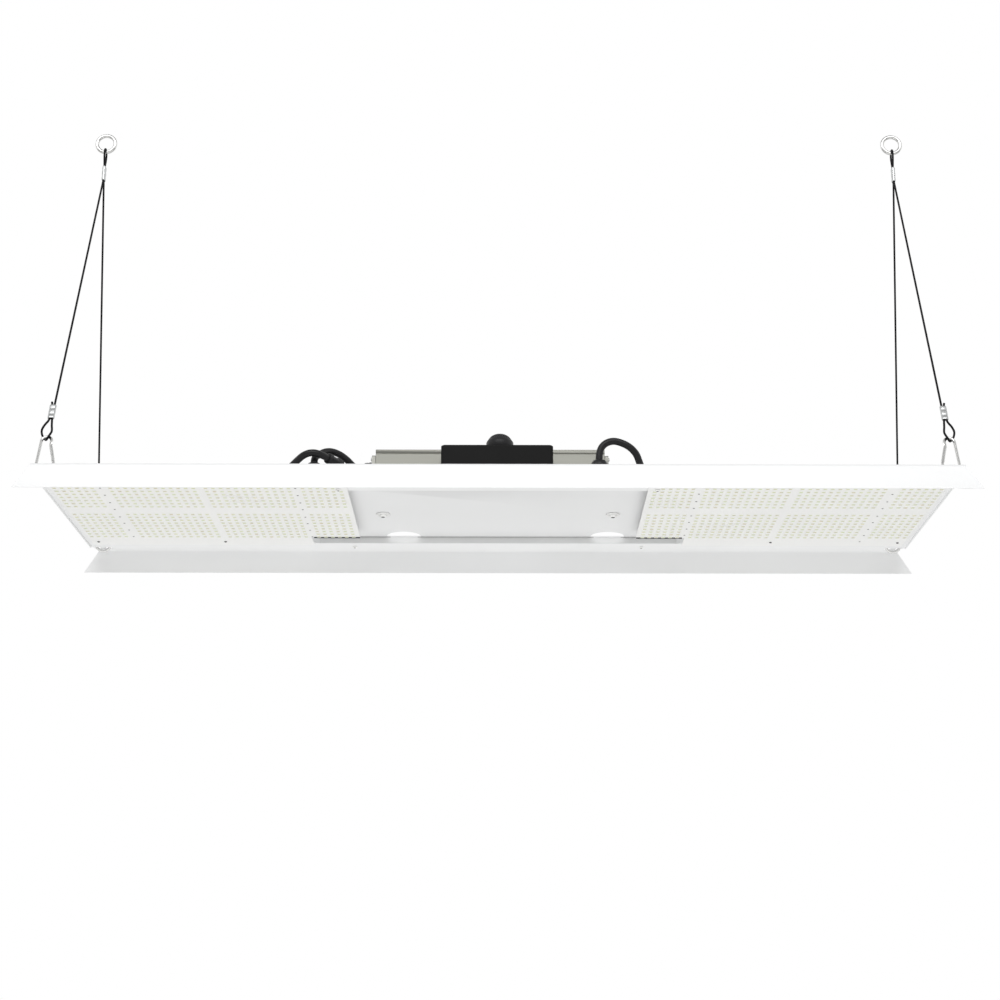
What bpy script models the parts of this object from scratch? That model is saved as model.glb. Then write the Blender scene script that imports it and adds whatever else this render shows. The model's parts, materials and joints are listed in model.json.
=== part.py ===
"""A long LED grow light that hangs from two wire slings.

A folded white hood carries two LED boards underneath. On top are a raised driver
platform, the driver with its dimmer box and knob, and the leads. At each end a coated
wire sling runs from two snap hooks in the hood's corners up to one hanging ring.

The origin is midway between the two points where the slings hang on their rings.
X runs along the light, Y across it (the dimmer side is -Y), and Z is up.
"""

import math

import bmesh
import bpy
from mathutils import Matrix, Vector

MM = 0.001
GAP = 0.3 * MM  # clearance between pieces that touch
LEFT, RIGHT = -1, 1
FRONT, BACK = -1, 1

# Where the light hangs under its rings. Light coordinates below have z = 0 at the
# underside of the hood's plate and y = 0 at the middle of its depth.
PLATE_DROP = 490 * MM
BALANCE_Y = 20.95 * MM  # the rings hang straight above the centre of mass
SLING_X = 520 * MM

# Hood: a flat plate, two long folded wings and two low end walls
HOOD_LENGTH = 1115 * MM
HOOD_DEPTH = 375 * MM
SHEET = 1.2 * MM
WING_DROP = 29.6 * MM
WING_FLARE = 3 * MM
WING_MITRE = 19 * MM
PLATE_HALF_LENGTH = 544 * MM
BEND_RADIUS = 2.4 * MM
END_WALL = 2.5 * MM
END_WALL_RELIEF = 20 * MM
END_WALL_MITRE = 3 * MM

# The opening in the plate, and the pressed platform that covers it from above
OPENING_X = 244 * MM
OPENING_Y = (-84 * MM, 145 * MM)
PLATFORM_RISE = 9 * MM
PLATFORM_FLANGE = 20 * MM
PLATFORM_DRAFT = 0.8 * MM
CABLE_HOLE_RADIUS = 22.5 * MM
CABLE_HOLES_X = (-125 * MM, 145 * MM)

# LED boards, with their inner corners notched round the opening
BOARD_X = (180.7 * MM, 537 * MM)
BOARD_HALF_DEPTH = 147 * MM
BOARD_THICK = 1.6 * MM
NOTCH_X = 244 * MM
NOTCH_Y = (-112 * MM, 112 * MM)

# Driver
DRIVER_X = (-151.4 * MM, 132.7 * MM)
DRIVER_Y = (-106 * MM, -38 * MM)
DRIVER_TOP = 45.1 * MM
DRIVER_WALL = 2.5 * MM
FIN_DEPTH = 4.8 * MM
FIN_COUNT = 11
END_PLATE = 4.2 * MM
END_PLATE_TOP = 37.8 * MM
STRAP_THICK = 2 * MM
STRAP_WIDTH = 26 * MM
STRAP_Y = (-72 * MM, 58 * MM)
STRAP_HOOK = 12 * MM
STRAP_SCREW = (146.5 * MM, 41 * MM)

# Dimmer box and knob
DIMMER_X = (-67 * MM, 65 * MM)
DIMMER_Y = (-150 * MM, -106.5 * MM)
DIMMER_TOP = 36 * MM
DIMMER_SPLIT = 10 * MM
DIMMER_WALL = 2 * MM
KNOB_AT = (2.2 * MM, -128.2 * MM)
KNOB_TOP = 56.2 * MM
KNOB_FLUTES = 18

# Screws that hold the platform to the hood; the front ones pass through the boards
PLATFORM_SCREW_X = 191.5 * MM
PLATFORM_SCREW_Y = (-95 * MM, 160 * MM)

# Leads and their glands
LEAD_RADIUS = 4.2 * MM
FEED_RADIUS = 1.5 * MM
GLAND_BORE = 4.5 * MM
TRAY_GLANDS = {"left": (-218 * MM, -128 * MM), "right": (119.5 * MM, -140 * MM)}
TERMINAL_AT = (259 * MM, -125 * MM)
CONNECTOR_X = (-352 * MM, -298 * MM)
CONNECTOR_Y = -58 * MM
CONNECTOR_RADIUS = 9 * MM
COUPLER_RADIUS = 6.4 * MM
COUPLER_SPAN = (9, 12)  # the points of the mains lead's route that it lies between

# Snap hooks in the corner slots, and the slings
HOOK_X = {FRONT: 526.6 * MM, BACK: 530 * MM}
HOOK_Y = 170 * MM
HOOK_WIRE = 1.8 * MM
BOW_RADIUS = 9.8 * MM
BOW_CENTRE = 5.8 * MM
EYE_RADIUS = 6 * MM
EYE_OFFSET = -2.9 * MM
EYE_RISE = 33 * MM
PIN_DROP = 6.4 * MM
GATE_WIRE = 2 * MM
GATE_SLOT = 1.2 * MM  # half the width of the fork that straddles the hook's end
GATE_FORK = 3.2 * MM
PIN_RADIUS = 0.7 * MM
TONGUE = 0.85 * MM  # half the thickness of the hook's flattened end
SLOT_X = (3.2 * MM, 11.9 * MM)
SLOT_HALF_Y = 5 * MM
ROPE_RADIUS = 1.3 * MM
ROPE_PITCH = 1.5 * MM  # half the distance between the two wires inside a ferrule
LOOP_TURN = (math.radians(30), math.radians(90))  # in the eye, and at the ferrule
LOOP_TWIST = 16 * MM
LOOP_SET = 2.2 * MM  # how far the loop leans outward at half height
FERRULE_LENGTH = 20 * MM
APEX_EYE = 22 * MM
RING_WIRE = 2.5 * MM
RING_RADIUS = 12 * MM


# ---------------------------------------------------------------- tools


def material(name, colour, roughness, metallic=0.0):
    found = bpy.data.materials.get(name)
    if found:
        return found
    made = bpy.data.materials.new(name)
    made.use_nodes = True
    shader = made.node_tree.nodes["Principled BSDF"]
    shader.inputs["Base Color"].default_value = (*colour, 1)
    shader.inputs["Roughness"].default_value = roughness
    shader.inputs["Metallic"].default_value = metallic
    made.diffuse_color = (*colour, 1)
    return made


WHITE_PAINT = ("white_paint", (0.86, 0.87, 0.87), 0.35)
BOARD_WHITE = ("board_white", (0.85, 0.86, 0.82), 0.4)
BARE_ALUMINIUM = ("bare_aluminium", (0.55, 0.55, 0.52), 0.4, 1.0)
BLACK_PLASTIC = ("black_plastic", (0.02, 0.02, 0.02), 0.45)
BLACK_RUBBER = ("black_rubber", (0.025, 0.025, 0.025), 0.6)
STEEL = ("bright_steel", (0.7, 0.7, 0.7), 0.25, 1.0)
GREEN_BOARD = ("green_board", (0.03, 0.2, 0.08), 0.5)
GREY_POTTING = ("grey_potting", (0.22, 0.22, 0.23), 0.7)
WHITE_PLASTIC = ("white_plastic", (0.8, 0.8, 0.78), 0.45)


def empty(name, location):
    made = bpy.data.objects.new(name, None)
    made.location = location
    bpy.context.scene.collection.objects.link(made)
    return made


def add(name, shape, finish, parent, at=(0, 0, 0), turn=None, smooth=True):
    """One named object from a bmesh, with its own finish, under its parent."""
    bmesh.ops.remove_doubles(shape, verts=shape.verts, dist=1e-7)
    bmesh.ops.recalc_face_normals(shape, faces=shape.faces)
    mesh = bpy.data.meshes.new(name)
    shape.to_mesh(mesh)
    shape.free()
    made = bpy.data.objects.new(name, mesh)
    bpy.context.scene.collection.objects.link(made)
    mesh.materials.append(material(*finish))
    if smooth:
        mesh.shade_smooth()
        mesh.set_sharp_from_angle(angle=math.radians(35))
    made.parent = parent
    made.location = at
    if turn:
        made.rotation_euler = turn
    return made


def cutter(name, shape, parent, at=(0, 0, 0)):
    made = add(name, shape, WHITE_PAINT, parent, at, smooth=False)
    made.hide_render = True
    made.display_type = "WIRE"
    return made


def combine(target, tool, operation="DIFFERENCE"):
    step = target.modifiers.new(tool.name, "BOOLEAN")
    step.object = tool
    step.operation = operation


def thicken(target, thickness):
    step = target.modifiers.new("sheet", "SOLIDIFY")
    step.thickness = thickness
    step.offset = 1
    step.solidify_mode = "NON_MANIFOLD"
    step.nonmanifold_thickness_mode = "CONSTRAINTS"


def prism(outline, low, high):
    """An outline of (x, y) points, extruded from z = low to z = high."""
    shape = bmesh.new()
    face = shape.faces.new([shape.verts.new((x, y, low)) for x, y in outline])
    raised = bmesh.ops.extrude_face_region(shape, geom=[face])["geom"]
    bmesh.ops.translate(
        shape,
        vec=(0, 0, high - low),
        verts=[v for v in raised if isinstance(v, bmesh.types.BMVert)],
    )
    return shape


def prism_along_x(outline, low, high):
    """An outline of (y, z) points, extruded from x = low to x = high."""
    shape = prism(outline, low, high)
    turn = Matrix(((0, 0, 1), (1, 0, 0), (0, 1, 0)))
    bmesh.ops.transform(shape, matrix=turn.to_4x4(), verts=shape.verts)
    return shape


def box(low, high):
    (x0, y0, z0), (x1, y1, z1) = low, high
    return prism([(x0, y0), (x1, y0), (x1, y1), (x0, y1)], z0, z1)


def circle(radius, sides, centre=(0, 0), start=0.0, end=2 * math.pi):
    whole = math.isclose(end - start, 2 * math.pi)
    steps = sides if whole else sides + 1
    return [
        (
            centre[0] + radius * math.cos(start + (end - start) * k / sides),
            centre[1] + radius * math.sin(start + (end - start) * k / sides),
        )
        for k in range(steps)
    ]


def rounded_box(width, depth, radius, centre=(0, 0), steps=3):
    """The outline of a rectangle with round corners."""
    points = []
    for k, (sx, sy) in enumerate(((1, 1), (-1, 1), (-1, -1), (1, -1))):
        middle = (
            centre[0] + sx * (width / 2 - radius),
            centre[1] + sy * (depth / 2 - radius),
        )
        start = k * math.pi / 2
        points += circle(radius, steps, middle, start, start + math.pi / 2)
    return points


def turned(profile, sides=24, ring=False, flutes=None):
    """A profile of (radius, z) points turned about Z. A ring's profile closes on
    itself; any other starts and ends on the axis. flutes is (count, depth, smallest
    radius, largest radius) of a fluted grip."""
    shape = bmesh.new()
    loops = []
    for radius, z in profile:
        if radius == 0:
            loops.append([shape.verts.new((0, 0, z))])
            continue
        loop = []
        for k in range(sides):
            angle = 2 * math.pi * k / sides
            r = radius
            if flutes and flutes[2] <= radius <= flutes[3]:
                r -= flutes[1] * (0.5 - 0.5 * math.cos(flutes[0] * angle))
            loop.append(shape.verts.new((r * math.cos(angle), r * math.sin(angle), z)))
        loops.append(loop)
    pairs = list(zip(loops, loops[1:] + loops[:1] if ring else loops[1:]))
    for one, two in pairs:
        for k in range(sides):
            corners = [one[k % len(one)], one[(k + 1) % len(one)]]
            corners += [two[(k + 1) % len(two)], two[k % len(two)]]
            corners = list(dict.fromkeys(corners))
            if len(corners) > 2:
                shape.faces.new(corners)
    return shape


def sleeve(outer, inner, low, high):
    """A straight sleeve between two outlines with the same number of points."""
    shape = bmesh.new()
    levels = [(outer, low), (outer, high), (inner, high), (inner, low)]
    loops = [[shape.verts.new((x, y, z)) for x, y in line] for line, z in levels]
    for one, two in zip(loops, loops[1:] + loops[:1]):
        for k in range(len(one)):
            nxt = (k + 1) % len(one)
            shape.faces.new([one[k], one[nxt], two[nxt], two[k]])
    return shape


def tube(name, points, radius, finish, parent, closed=False, sides=8):
    """A round wire or lead along its points."""
    curve = bpy.data.curves.new(name, "CURVE")
    curve.dimensions = "3D"
    spline = curve.splines.new("POLY")
    spline.points.add(len(points) - 1)
    for point, place in zip(spline.points, points):
        point.co = (*place, 1)
    spline.use_cyclic_u = closed
    curve.bevel_depth = radius
    curve.bevel_resolution = sides // 2 - 2
    curve.use_fill_caps = not closed
    curve.materials.append(material(*finish))
    made = bpy.data.objects.new(name, curve)
    bpy.context.scene.collection.objects.link(made)
    made.parent = parent
    return made


def smooth_line(route, step):
    """Points about a step apart on the centripetal Catmull-Rom curve through a route."""
    route = [Vector(p) for p in route]
    ends = [2 * route[0] - route[1], *route, 2 * route[-1] - route[-2]]
    line = []
    for a, b, c, d in zip(ends, ends[1:], ends[2:], ends[3:]):
        knots = [0.0]
        for one, two in ((a, b), (b, c), (c, d)):
            knots.append(knots[-1] + math.sqrt((two - one).length))
        count = max(1, round((c - b).length / step))
        for k in range(count):
            t = knots[1] + (knots[2] - knots[1]) * k / count
            level = [a, b, c, d]
            for span in (1, 2, 3):
                level = [
                    level[i].lerp(
                        level[i + 1],
                        blend_weight(t, knots, i, span),
                    )
                    for i in range(4 - span)
                ]
            line.append(level[0])
    return [*line, route[-1]]


def blend_weight(t, knots, i, span):
    """How far t lies along the knots that one Catmull-Rom blend runs between."""
    if span == 3:
        return (t - knots[1]) / (knots[2] - knots[1])
    return (t - knots[i]) / (knots[i + span] - knots[i])


# ---------------------------------------------------------------- hood


def hood_surface():
    """The sheet's inner surface: plate, two long wings and two low end lips."""
    shape = bmesh.new()
    half_x = HOOD_LENGTH / 2 - WING_MITRE
    half_y = HOOD_DEPTH / 2 - WING_FLARE - SHEET
    wall_y = half_y - END_WALL_RELIEF
    around = []
    for sx, sy in ((1, -1), (1, 1), (-1, 1), (-1, -1)):
        corner = (sx * half_x, sy * half_y, 0)
        wall = (sx * PLATE_HALF_LENGTH, sy * wall_y, 0)
        around += [corner, wall] if sx * sy < 0 else [wall, corner]
    plate = [shape.verts.new(p) for p in around]
    shape.faces.new(plate)
    # two long sides: bend and wing
    for first, second, sy in ((7, 0, -1), (3, 4, 1)):
        bend = [plate[first], plate[second]]
        edge = []
        for v in bend:
            x = math.copysign(HOOD_LENGTH / 2, v.co.x)
            edge.append(shape.verts.new((x, sy * (half_y + WING_FLARE), -WING_DROP)))
        shape.faces.new([bend[0], edge[0], edge[1], bend[1]])
    # two short ends: a low lip with mitred ends, between reliefs at the corners
    for first, second in ((1, 2), (5, 6)):
        top = [plate[first], plate[second]]
        foot = []
        for v in top:
            y = v.co.y - math.copysign(END_WALL_MITRE, v.co.y)
            foot.append(shape.verts.new((v.co.x, y, -END_WALL)))
        shape.faces.new([top[0], foot[0], foot[1], top[1]])
    long_bends = [
        e for e in shape.edges if len(e.link_faces) == 2 and abs(e.verts[0].co.y) > wall_y
    ]
    bmesh.ops.bevel(
        shape, geom=long_bends, offset=BEND_RADIUS, segments=3, profile=0.5, affect="EDGES"
    )
    return shape


def face_up_and_out(made):
    """Turns a sheet's normals so that its largest face looks up."""
    largest = max(made.data.polygons, key=lambda p: p.area)
    if largest.normal.z < 0:
        made.data.flip_normals()


def slots():
    """Outlines of the paired slots that the snap hooks pass through."""
    x0, x1 = SLOT_X
    for sx in (LEFT, RIGHT):
        for sy in (FRONT, BACK):
            for side in (-1, 1):
                middle = (sx * HOOK_X[sy] + side * (x0 + x1) / 2, sy * HOOK_Y)
                yield rounded_box(x1 - x0, 2 * SLOT_HALF_Y, 2.5 * MM, middle)


def build_hood(light):
    hood = add("hood_tray", hood_surface(), WHITE_PAINT, light, smooth=False)
    face_up_and_out(hood)
    thicken(hood, SHEET)
    low, high = -2 * MM, 4 * MM
    centre_y = sum(OPENING_Y) / 2
    depth = OPENING_Y[1] - OPENING_Y[0]
    outlines = [rounded_box(2 * OPENING_X, depth, 6 * MM, (0, centre_y))]
    outlines += slots()
    outlines += [circle(6.6 * MM, 16, at) for at in TRAY_GLANDS.values()]
    outlines += [circle(1.8 * MM, 12, at) for at in platform_screws().values()]
    for k, outline in enumerate(outlines):
        combine(hood, cutter(f"hood_cut_{k}", prism(outline, low, high), light))


def platform_screws():
    return {
        f"{end}_{side}": (sx * PLATFORM_SCREW_X, y)
        for side, sx in (("left", LEFT), ("right", RIGHT))
        for end, y in zip(("front", "back"), PLATFORM_SCREW_Y)
    }


def build_platform(light):
    """The pressed platform: a raised floor, four walls and a flange on the hood."""
    shape = bmesh.new()
    foot = SHEET + GAP
    centre_y = sum(OPENING_Y) / 2
    depth = OPENING_Y[1] - OPENING_Y[0]
    rings = (
        (-2 * PLATFORM_DRAFT, PLATFORM_RISE),
        (0, foot),
        (2 * PLATFORM_FLANGE, foot),
    )
    loops = []
    for grow, z in rings:
        outline = rounded_box(
            2 * OPENING_X + grow,
            depth + grow,
            max(6 * MM + grow / 2, 3 * MM),
            (0, centre_y),
        )
        loops.append([shape.verts.new((x, y, z)) for x, y in outline])
    shape.faces.new(loops[0])
    for one, two in zip(loops, loops[1:]):
        for k in range(len(one)):
            nxt = (k + 1) % len(one)
            shape.faces.new([one[k], two[k], two[nxt], one[nxt]])
    platform = add("driver_platform", shape, WHITE_PAINT, light, smooth=False)
    face_up_and_out(platform)
    thicken(platform, SHEET)
    low, high = PLATFORM_RISE - 2 * MM, PLATFORM_RISE + 4 * MM
    bend = OPENING_Y[1] - PLATFORM_DRAFT - 1 * MM
    cuts = [
        prism(circle(CABLE_HOLE_RADIUS, 20, (x, bend), math.pi, 2 * math.pi), low, high)
        for x in CABLE_HOLES_X
    ]
    cuts += [
        prism(circle(2.8 * MM, 12, (sx * STRAP_SCREW[0], STRAP_SCREW[1])), low, high)
        for sx in (LEFT, RIGHT)
    ]
    cuts += [
        prism(circle(1.8 * MM, 12, at), 0, 5 * MM) for at in platform_screws().values()
    ]
    for k, cut in enumerate(cuts):
        combine(platform, cutter(f"platform_cut_{k}", cut, light))


def screw(head_radius, head, shank_radius, nut_radius, nut_low, nut_high, washer=None):
    """A pan-head screw from below with its nut above, z = 0 under the sheet. washer is
    (radius, thickness)."""
    top = -GAP
    profile = [(0, top - head), (head_radius * 0.7, top - head)]
    profile += [(head_radius, top - head * 0.55)]
    if washer:
        radius, thick = washer
        profile = [(r, z - thick) for r, z in profile]
        profile += [(head_radius, top - thick), (radius, top - thick), (radius, top)]
    else:
        profile += [(head_radius, top)]
    profile += [(shank_radius, top), (shank_radius, nut_low), (nut_radius, nut_low)]
    profile += [(nut_radius, nut_high), (shank_radius, nut_high)]
    profile += [(shank_radius, nut_high + 1.5 * MM), (0, nut_high + 1.5 * MM)]
    return turned(profile, sides=12)


def build_platform_screws(light):
    for name, (x, y) in platform_screws().items():
        under = board_face() if "front" in name else 0
        nut = 2 * SHEET + 2 * GAP - under
        shape = screw(2.8 * MM, 1.8 * MM, 1.5 * MM, 3.2 * MM, nut, nut + 2.6 * MM)
        add(f"platform_screw_{name}", shape, STEEL, light, (x, y, under))


# ---------------------------------------------------------------- LED boards


def board_face():
    """Height of the boards' lower face."""
    return -GAP - BOARD_THICK


def build_boards(light):
    x0, x1 = BOARD_X
    half = BOARD_HALF_DEPTH
    outline = [(NOTCH_X, -half), (x1, -half), (x1, half), (NOTCH_X, half)]
    outline += [(NOTCH_X, NOTCH_Y[1]), (x0, NOTCH_Y[1]), (x0, NOTCH_Y[0])]
    outline += [(NOTCH_X, NOTCH_Y[0])]
    low = board_face()
    for side, sx in (("left", LEFT), ("right", RIGHT)):
        mirrored = [(sx * x, y) for x, y in outline]
        shape = prism(mirrored, low, -GAP)
        board = add(f"led_board_{side}", shape, BOARD_WHITE, light, smooth=False)
        at = (sx * PLATFORM_SCREW_X, PLATFORM_SCREW_Y[0])
        hole = prism(circle(1.8 * MM, 12, at), low - 2 * MM, 2 * MM)
        combine(board, cutter(f"board_hole_{side}", hole, light))
        block = rounded_box(14 * MM, 11 * MM, 1 * MM, steps=2)
        add(
            f"board_terminal_{side}",
            prism(block, low - GAP - 5 * MM, low - GAP),
            WHITE_PLASTIC,
            light,
            (sx * TERMINAL_AT[0], TERMINAL_AT[1], 0),
            smooth=False,
        )


# ---------------------------------------------------------------- driver


def driver_outline():
    """The extrusion's (y, z) outline: a groove in each side and fins along the top."""
    y0, y1 = DRIVER_Y
    z0, z1 = strap_top() + GAP, DRIVER_TOP
    bevel, groove, deep = 0.8 * MM, 5.1 * MM, 1.2 * MM
    front = [
        (y0, z0),
        (y0, z1 - groove - 1 * MM),
        (y0 + deep, z1 - groove - 0.6 * MM),
        (y0 + deep, z1 - groove + 0.4 * MM),
        (y0, z1 - groove + 0.8 * MM),
        (y0, z1 - bevel),
        (y0 + bevel, z1),
    ]
    back = [(y0 + y1 - y, z) for y, z in reversed(front)]
    pitch = (y1 - y0) / FIN_COUNT
    valleys = []
    for k in range(1, FIN_COUNT):
        y = y0 + k * pitch
        wide, narrow = 1.9 * MM, 1.5 * MM
        valleys += [(y - wide, z1), (y - narrow, z1 - FIN_DEPTH)]
        valleys += [(y + narrow, z1 - FIN_DEPTH), (y + wide, z1)]
    return front + valleys + back


def driver_inside():
    """The (y, z) outline of the extrusion's hollow, under its roof."""
    y0, y1 = DRIVER_Y[0] + DRIVER_WALL, DRIVER_Y[1] - DRIVER_WALL
    z0 = strap_top() + GAP + DRIVER_WALL
    z1 = DRIVER_TOP - FIN_DEPTH - DRIVER_WALL - 2 * MM
    return [(y0, z0), (y1, z0), (y1, z1), (y0, z1)]


def end_plate_outline():
    """The (y, z) outline of the plate that closes each end below the fins."""
    y0, y1 = DRIVER_Y[0] + 0.5 * MM, DRIVER_Y[1] - 0.5 * MM
    z0, z1 = strap_top() + GAP, END_PLATE_TOP
    cut = 1.5 * MM
    return [(y0, z0), (y1, z0), (y1, z1 - cut), (y1 - cut, z1), (y0 + cut, z1), (y0, z1 - cut)]


def strap_top():
    return PLATFORM_RISE + SHEET + GAP + STRAP_THICK


DRIVER_GLANDS = {
    "left": (LEFT, -82 * MM, 25.6 * MM),
    "ac": (LEFT, -58 * MM, 24 * MM),
    "right": (RIGHT, -72 * MM, 26.5 * MM),
}


def build_driver(light):
    inside = (DRIVER_X[0] + END_PLATE + GAP, DRIVER_X[1] - END_PLATE - GAP)
    case = add(
        "driver_case",
        prism_along_x(driver_outline(), *inside),
        BARE_ALUMINIUM,
        light,
        smooth=False,
    )
    hollow = prism_along_x(driver_inside(), inside[0] - 5 * MM, inside[1] + 5 * MM)
    combine(case, cutter("driver_hollow", hollow, light))
    for side, sx in (("left", LEFT), ("right", RIGHT)):
        face = DRIVER_X[0] if sx == LEFT else DRIVER_X[1]
        ends = sorted((face, face - sx * END_PLATE))
        plate = add(
            f"driver_end_{side}",
            prism_along_x(end_plate_outline(), *ends),
            BARE_ALUMINIUM,
            light,
            smooth=False,
        )
        for name, (on, y, z) in DRIVER_GLANDS.items():
            if on == sx:
                hole = prism_along_x(
                    circle(6 * MM, 16, (y, z)), ends[0] - 2 * MM, ends[1] + 2 * MM
                )
                combine(plate, cutter(f"gland_hole_{name}", hole, light))
    build_driver_circuit(light, inside)
    build_straps(light)


def build_driver_circuit(light, inside):
    """The potted circuit inside the driver: coils and capacitors stand out of it."""
    x0, x1 = inside[0] + 4 * MM, inside[1] - 4 * MM
    y0, y1 = DRIVER_Y[0] + 3.5 * MM, DRIVER_Y[1] - 3.5 * MM
    z0 = strap_top() + GAP + DRIVER_WALL + GAP
    potting = add(
        "driver_circuit",
        box((x0, y0, z0), (x1, y1, z0 + 14 * MM)),
        GREY_POTTING,
        light,
        smooth=False,
    )
    middle = (y0 + y1) / 2
    parts = (
        (-105, 16, 40, 17.5),
        (-62, 26, 34, 18.5),
        (-18, 22, 30, 16.5),
        (32, 34, 36, 19),
        (84, 18, 42, 17),
    )
    for k, (x, long, wide, tall) in enumerate(parts):
        low = (x * MM, middle - wide * MM / 2, z0 + 1 * MM)
        high = ((x + long) * MM, middle + wide * MM / 2, z0 + tall * MM)
        tool = cutter(f"circuit_part_{k}", box(low, high), light)
        combine(potting, tool, "UNION")


def build_straps(light):
    """Two straps across the platform that the driver stands on and hooks behind."""
    foot = PLATFORM_RISE + SHEET + GAP
    top = strap_top()
    hook = DRIVER_Y[1] + GAP
    outline = [
        (STRAP_Y[0], foot),
        (STRAP_Y[1], foot),
        (STRAP_Y[1], top),
        (hook + STRAP_THICK, top),
        (hook + STRAP_THICK, top + STRAP_HOOK),
        (hook, top + STRAP_HOOK),
        (hook, top),
        (STRAP_Y[0], top),
    ]
    for side, sx in (("left", LEFT), ("right", RIGHT)):
        x = sx * STRAP_SCREW[0]
        strap = add(
            f"driver_strap_{side}",
            prism_along_x(outline, x - STRAP_WIDTH / 2, x + STRAP_WIDTH / 2),
            STEEL,
            light,
            smooth=False,
        )
        hole = prism(circle(2.8 * MM, 12, (x, STRAP_SCREW[1])), 0, 20 * MM)
        combine(strap, cutter(f"strap_hole_{side}", hole, light))
        under = PLATFORM_RISE
        on_strap = top + GAP - under
        shape = screw(
            4.6 * MM,
            3 * MM,
            2.3 * MM,
            4.5 * MM,
            on_strap,
            on_strap + 3.6 * MM,
            washer=(9 * MM, 1.1 * MM),
        )
        add(f"driver_screw_{side}", shape, STEEL, light, (x, STRAP_SCREW[1], under))


# ---------------------------------------------------------------- dimmer


def build_dimmer(light):
    width = DIMMER_X[1] - DIMMER_X[0]
    depth = DIMMER_Y[1] - DIMMER_Y[0]
    centre = (sum(DIMMER_X) / 2, sum(DIMMER_Y) / 2)
    outer = rounded_box(width, depth, 3.5 * MM, centre)
    inner = rounded_box(
        width - 2 * DIMMER_WALL, depth - 2 * DIMMER_WALL, 1.5 * MM, centre
    )
    foot = SHEET + GAP
    base = add(
        "dimmer_base", prism(outer, foot, DIMMER_SPLIT), BLACK_PLASTIC, light, smooth=False
    )
    hollow = prism(inner, foot + DIMMER_WALL, DIMMER_SPLIT + 5 * MM)
    combine(base, cutter("dimmer_hollow", hollow, light))
    cover = add(
        "dimmer_cover",
        prism(outer, DIMMER_SPLIT + GAP, DIMMER_TOP - 1.2 * MM),
        BLACK_PLASTIC,
        light,
        smooth=False,
    )
    crown = prism(outer, DIMMER_TOP - 1.6 * MM, DIMMER_TOP)
    for v in crown.verts:
        if v.co.z > DIMMER_TOP - 0.1 * MM:
            v.co.x += (centre[0] - v.co.x) * 2.4 * MM / width
            v.co.y += (centre[1] - v.co.y) * 2.4 * MM / depth
    combine(cover, cutter("dimmer_crown", crown, light), "UNION")
    under = prism(inner, DIMMER_SPLIT - 5 * MM, DIMMER_TOP - DIMMER_WALL)
    combine(cover, cutter("cover_hollow", under, light))
    bush = prism(circle(3.8 * MM, 16, KNOB_AT), DIMMER_TOP - 9 * MM, DIMMER_TOP + 9 * MM)
    combine(cover, cutter("bush_hole", bush, light))
    build_potentiometer(light)


def build_potentiometer(light):
    """The body under the cover, its bush and nut, and the shaft up into the knob."""
    roof = DIMMER_TOP - DIMMER_WALL - GAP
    profile = [(0, roof - 10 * MM), (8 * MM, roof - 10 * MM), (8 * MM, roof)]
    profile += [(3.5 * MM, roof), (3.5 * MM, DIMMER_TOP + GAP)]
    profile += [(5.5 * MM, DIMMER_TOP + GAP), (5.5 * MM, DIMMER_TOP + 2 * MM)]
    profile += [(3 * MM, DIMMER_TOP + 2 * MM), (3 * MM, KNOB_TOP - 5.3 * MM)]
    profile += [(0, KNOB_TOP - 5.3 * MM)]
    add("dimmer_potentiometer", turned(profile, 16), STEEL, light, (*KNOB_AT, 0))
    board = box((-24 * MM, -13 * MM, 0), (24 * MM, 13 * MM, 1.6 * MM))
    add(
        "dimmer_board",
        board,
        GREEN_BOARD,
        light,
        (*KNOB_AT, roof - 12 * MM - 0.1 * MM),
        smooth=False,
    )


def build_knob(light):
    """A bell-shaped knob: a domed, fluted grip that flares into a wide skirt."""
    low = DIMMER_TOP + 0.6 * MM
    bore, pocket = 3.3 * MM, 7.5 * MM
    profile = [(0, KNOB_TOP - 5 * MM), (bore, KNOB_TOP - 5 * MM)]
    profile += [(bore, low + 3.5 * MM), (pocket, low + 3.5 * MM), (pocket, low)]
    skirt = 16.2 * MM
    profile += [(skirt, low), (skirt, low + 7.4 * MM)]
    bell = ((15.2, 9.2), (13.6, 6.9), (12.2, 4.8), (9.4, 2.5), (6.6, 1.2), (4, 0.5), (0, 0))
    profile += [(radius * MM, KNOB_TOP - down * MM) for radius, down in bell]
    flutes = (KNOB_FLUTES, 0.8 * MM, 12 * MM, 14 * MM)
    shape = turned(profile, 4 * KNOB_FLUTES, flutes=flutes)
    add("dimmer_knob", shape, BLACK_PLASTIC, light, (*KNOB_AT, 0))


# ---------------------------------------------------------------- leads


def gland(reach, behind):
    """A cable gland with its locknut, z = 0 at the outside of the sheet it grips."""
    bore, nut = GLAND_BORE, 8.3 * MM
    profile = [(bore, -behind - 4 * MM), (5.8 * MM, -behind - 4 * MM)]
    profile += [(5.8 * MM, -behind - 3.4 * MM), (nut, -behind - 3.4 * MM)]
    profile += [(nut, -behind - GAP), (5.8 * MM, -behind - GAP), (5.8 * MM, GAP)]
    profile += [(10.5 * MM, GAP), (10.5 * MM, 4.5 * MM), (10 * MM, 5 * MM)]
    profile += [(10 * MM, reach * 0.72), (8 * MM, reach * 0.9), (5.6 * MM, reach)]
    profile += [(bore, reach)]
    return turned(profile, 16, ring=True)


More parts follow.
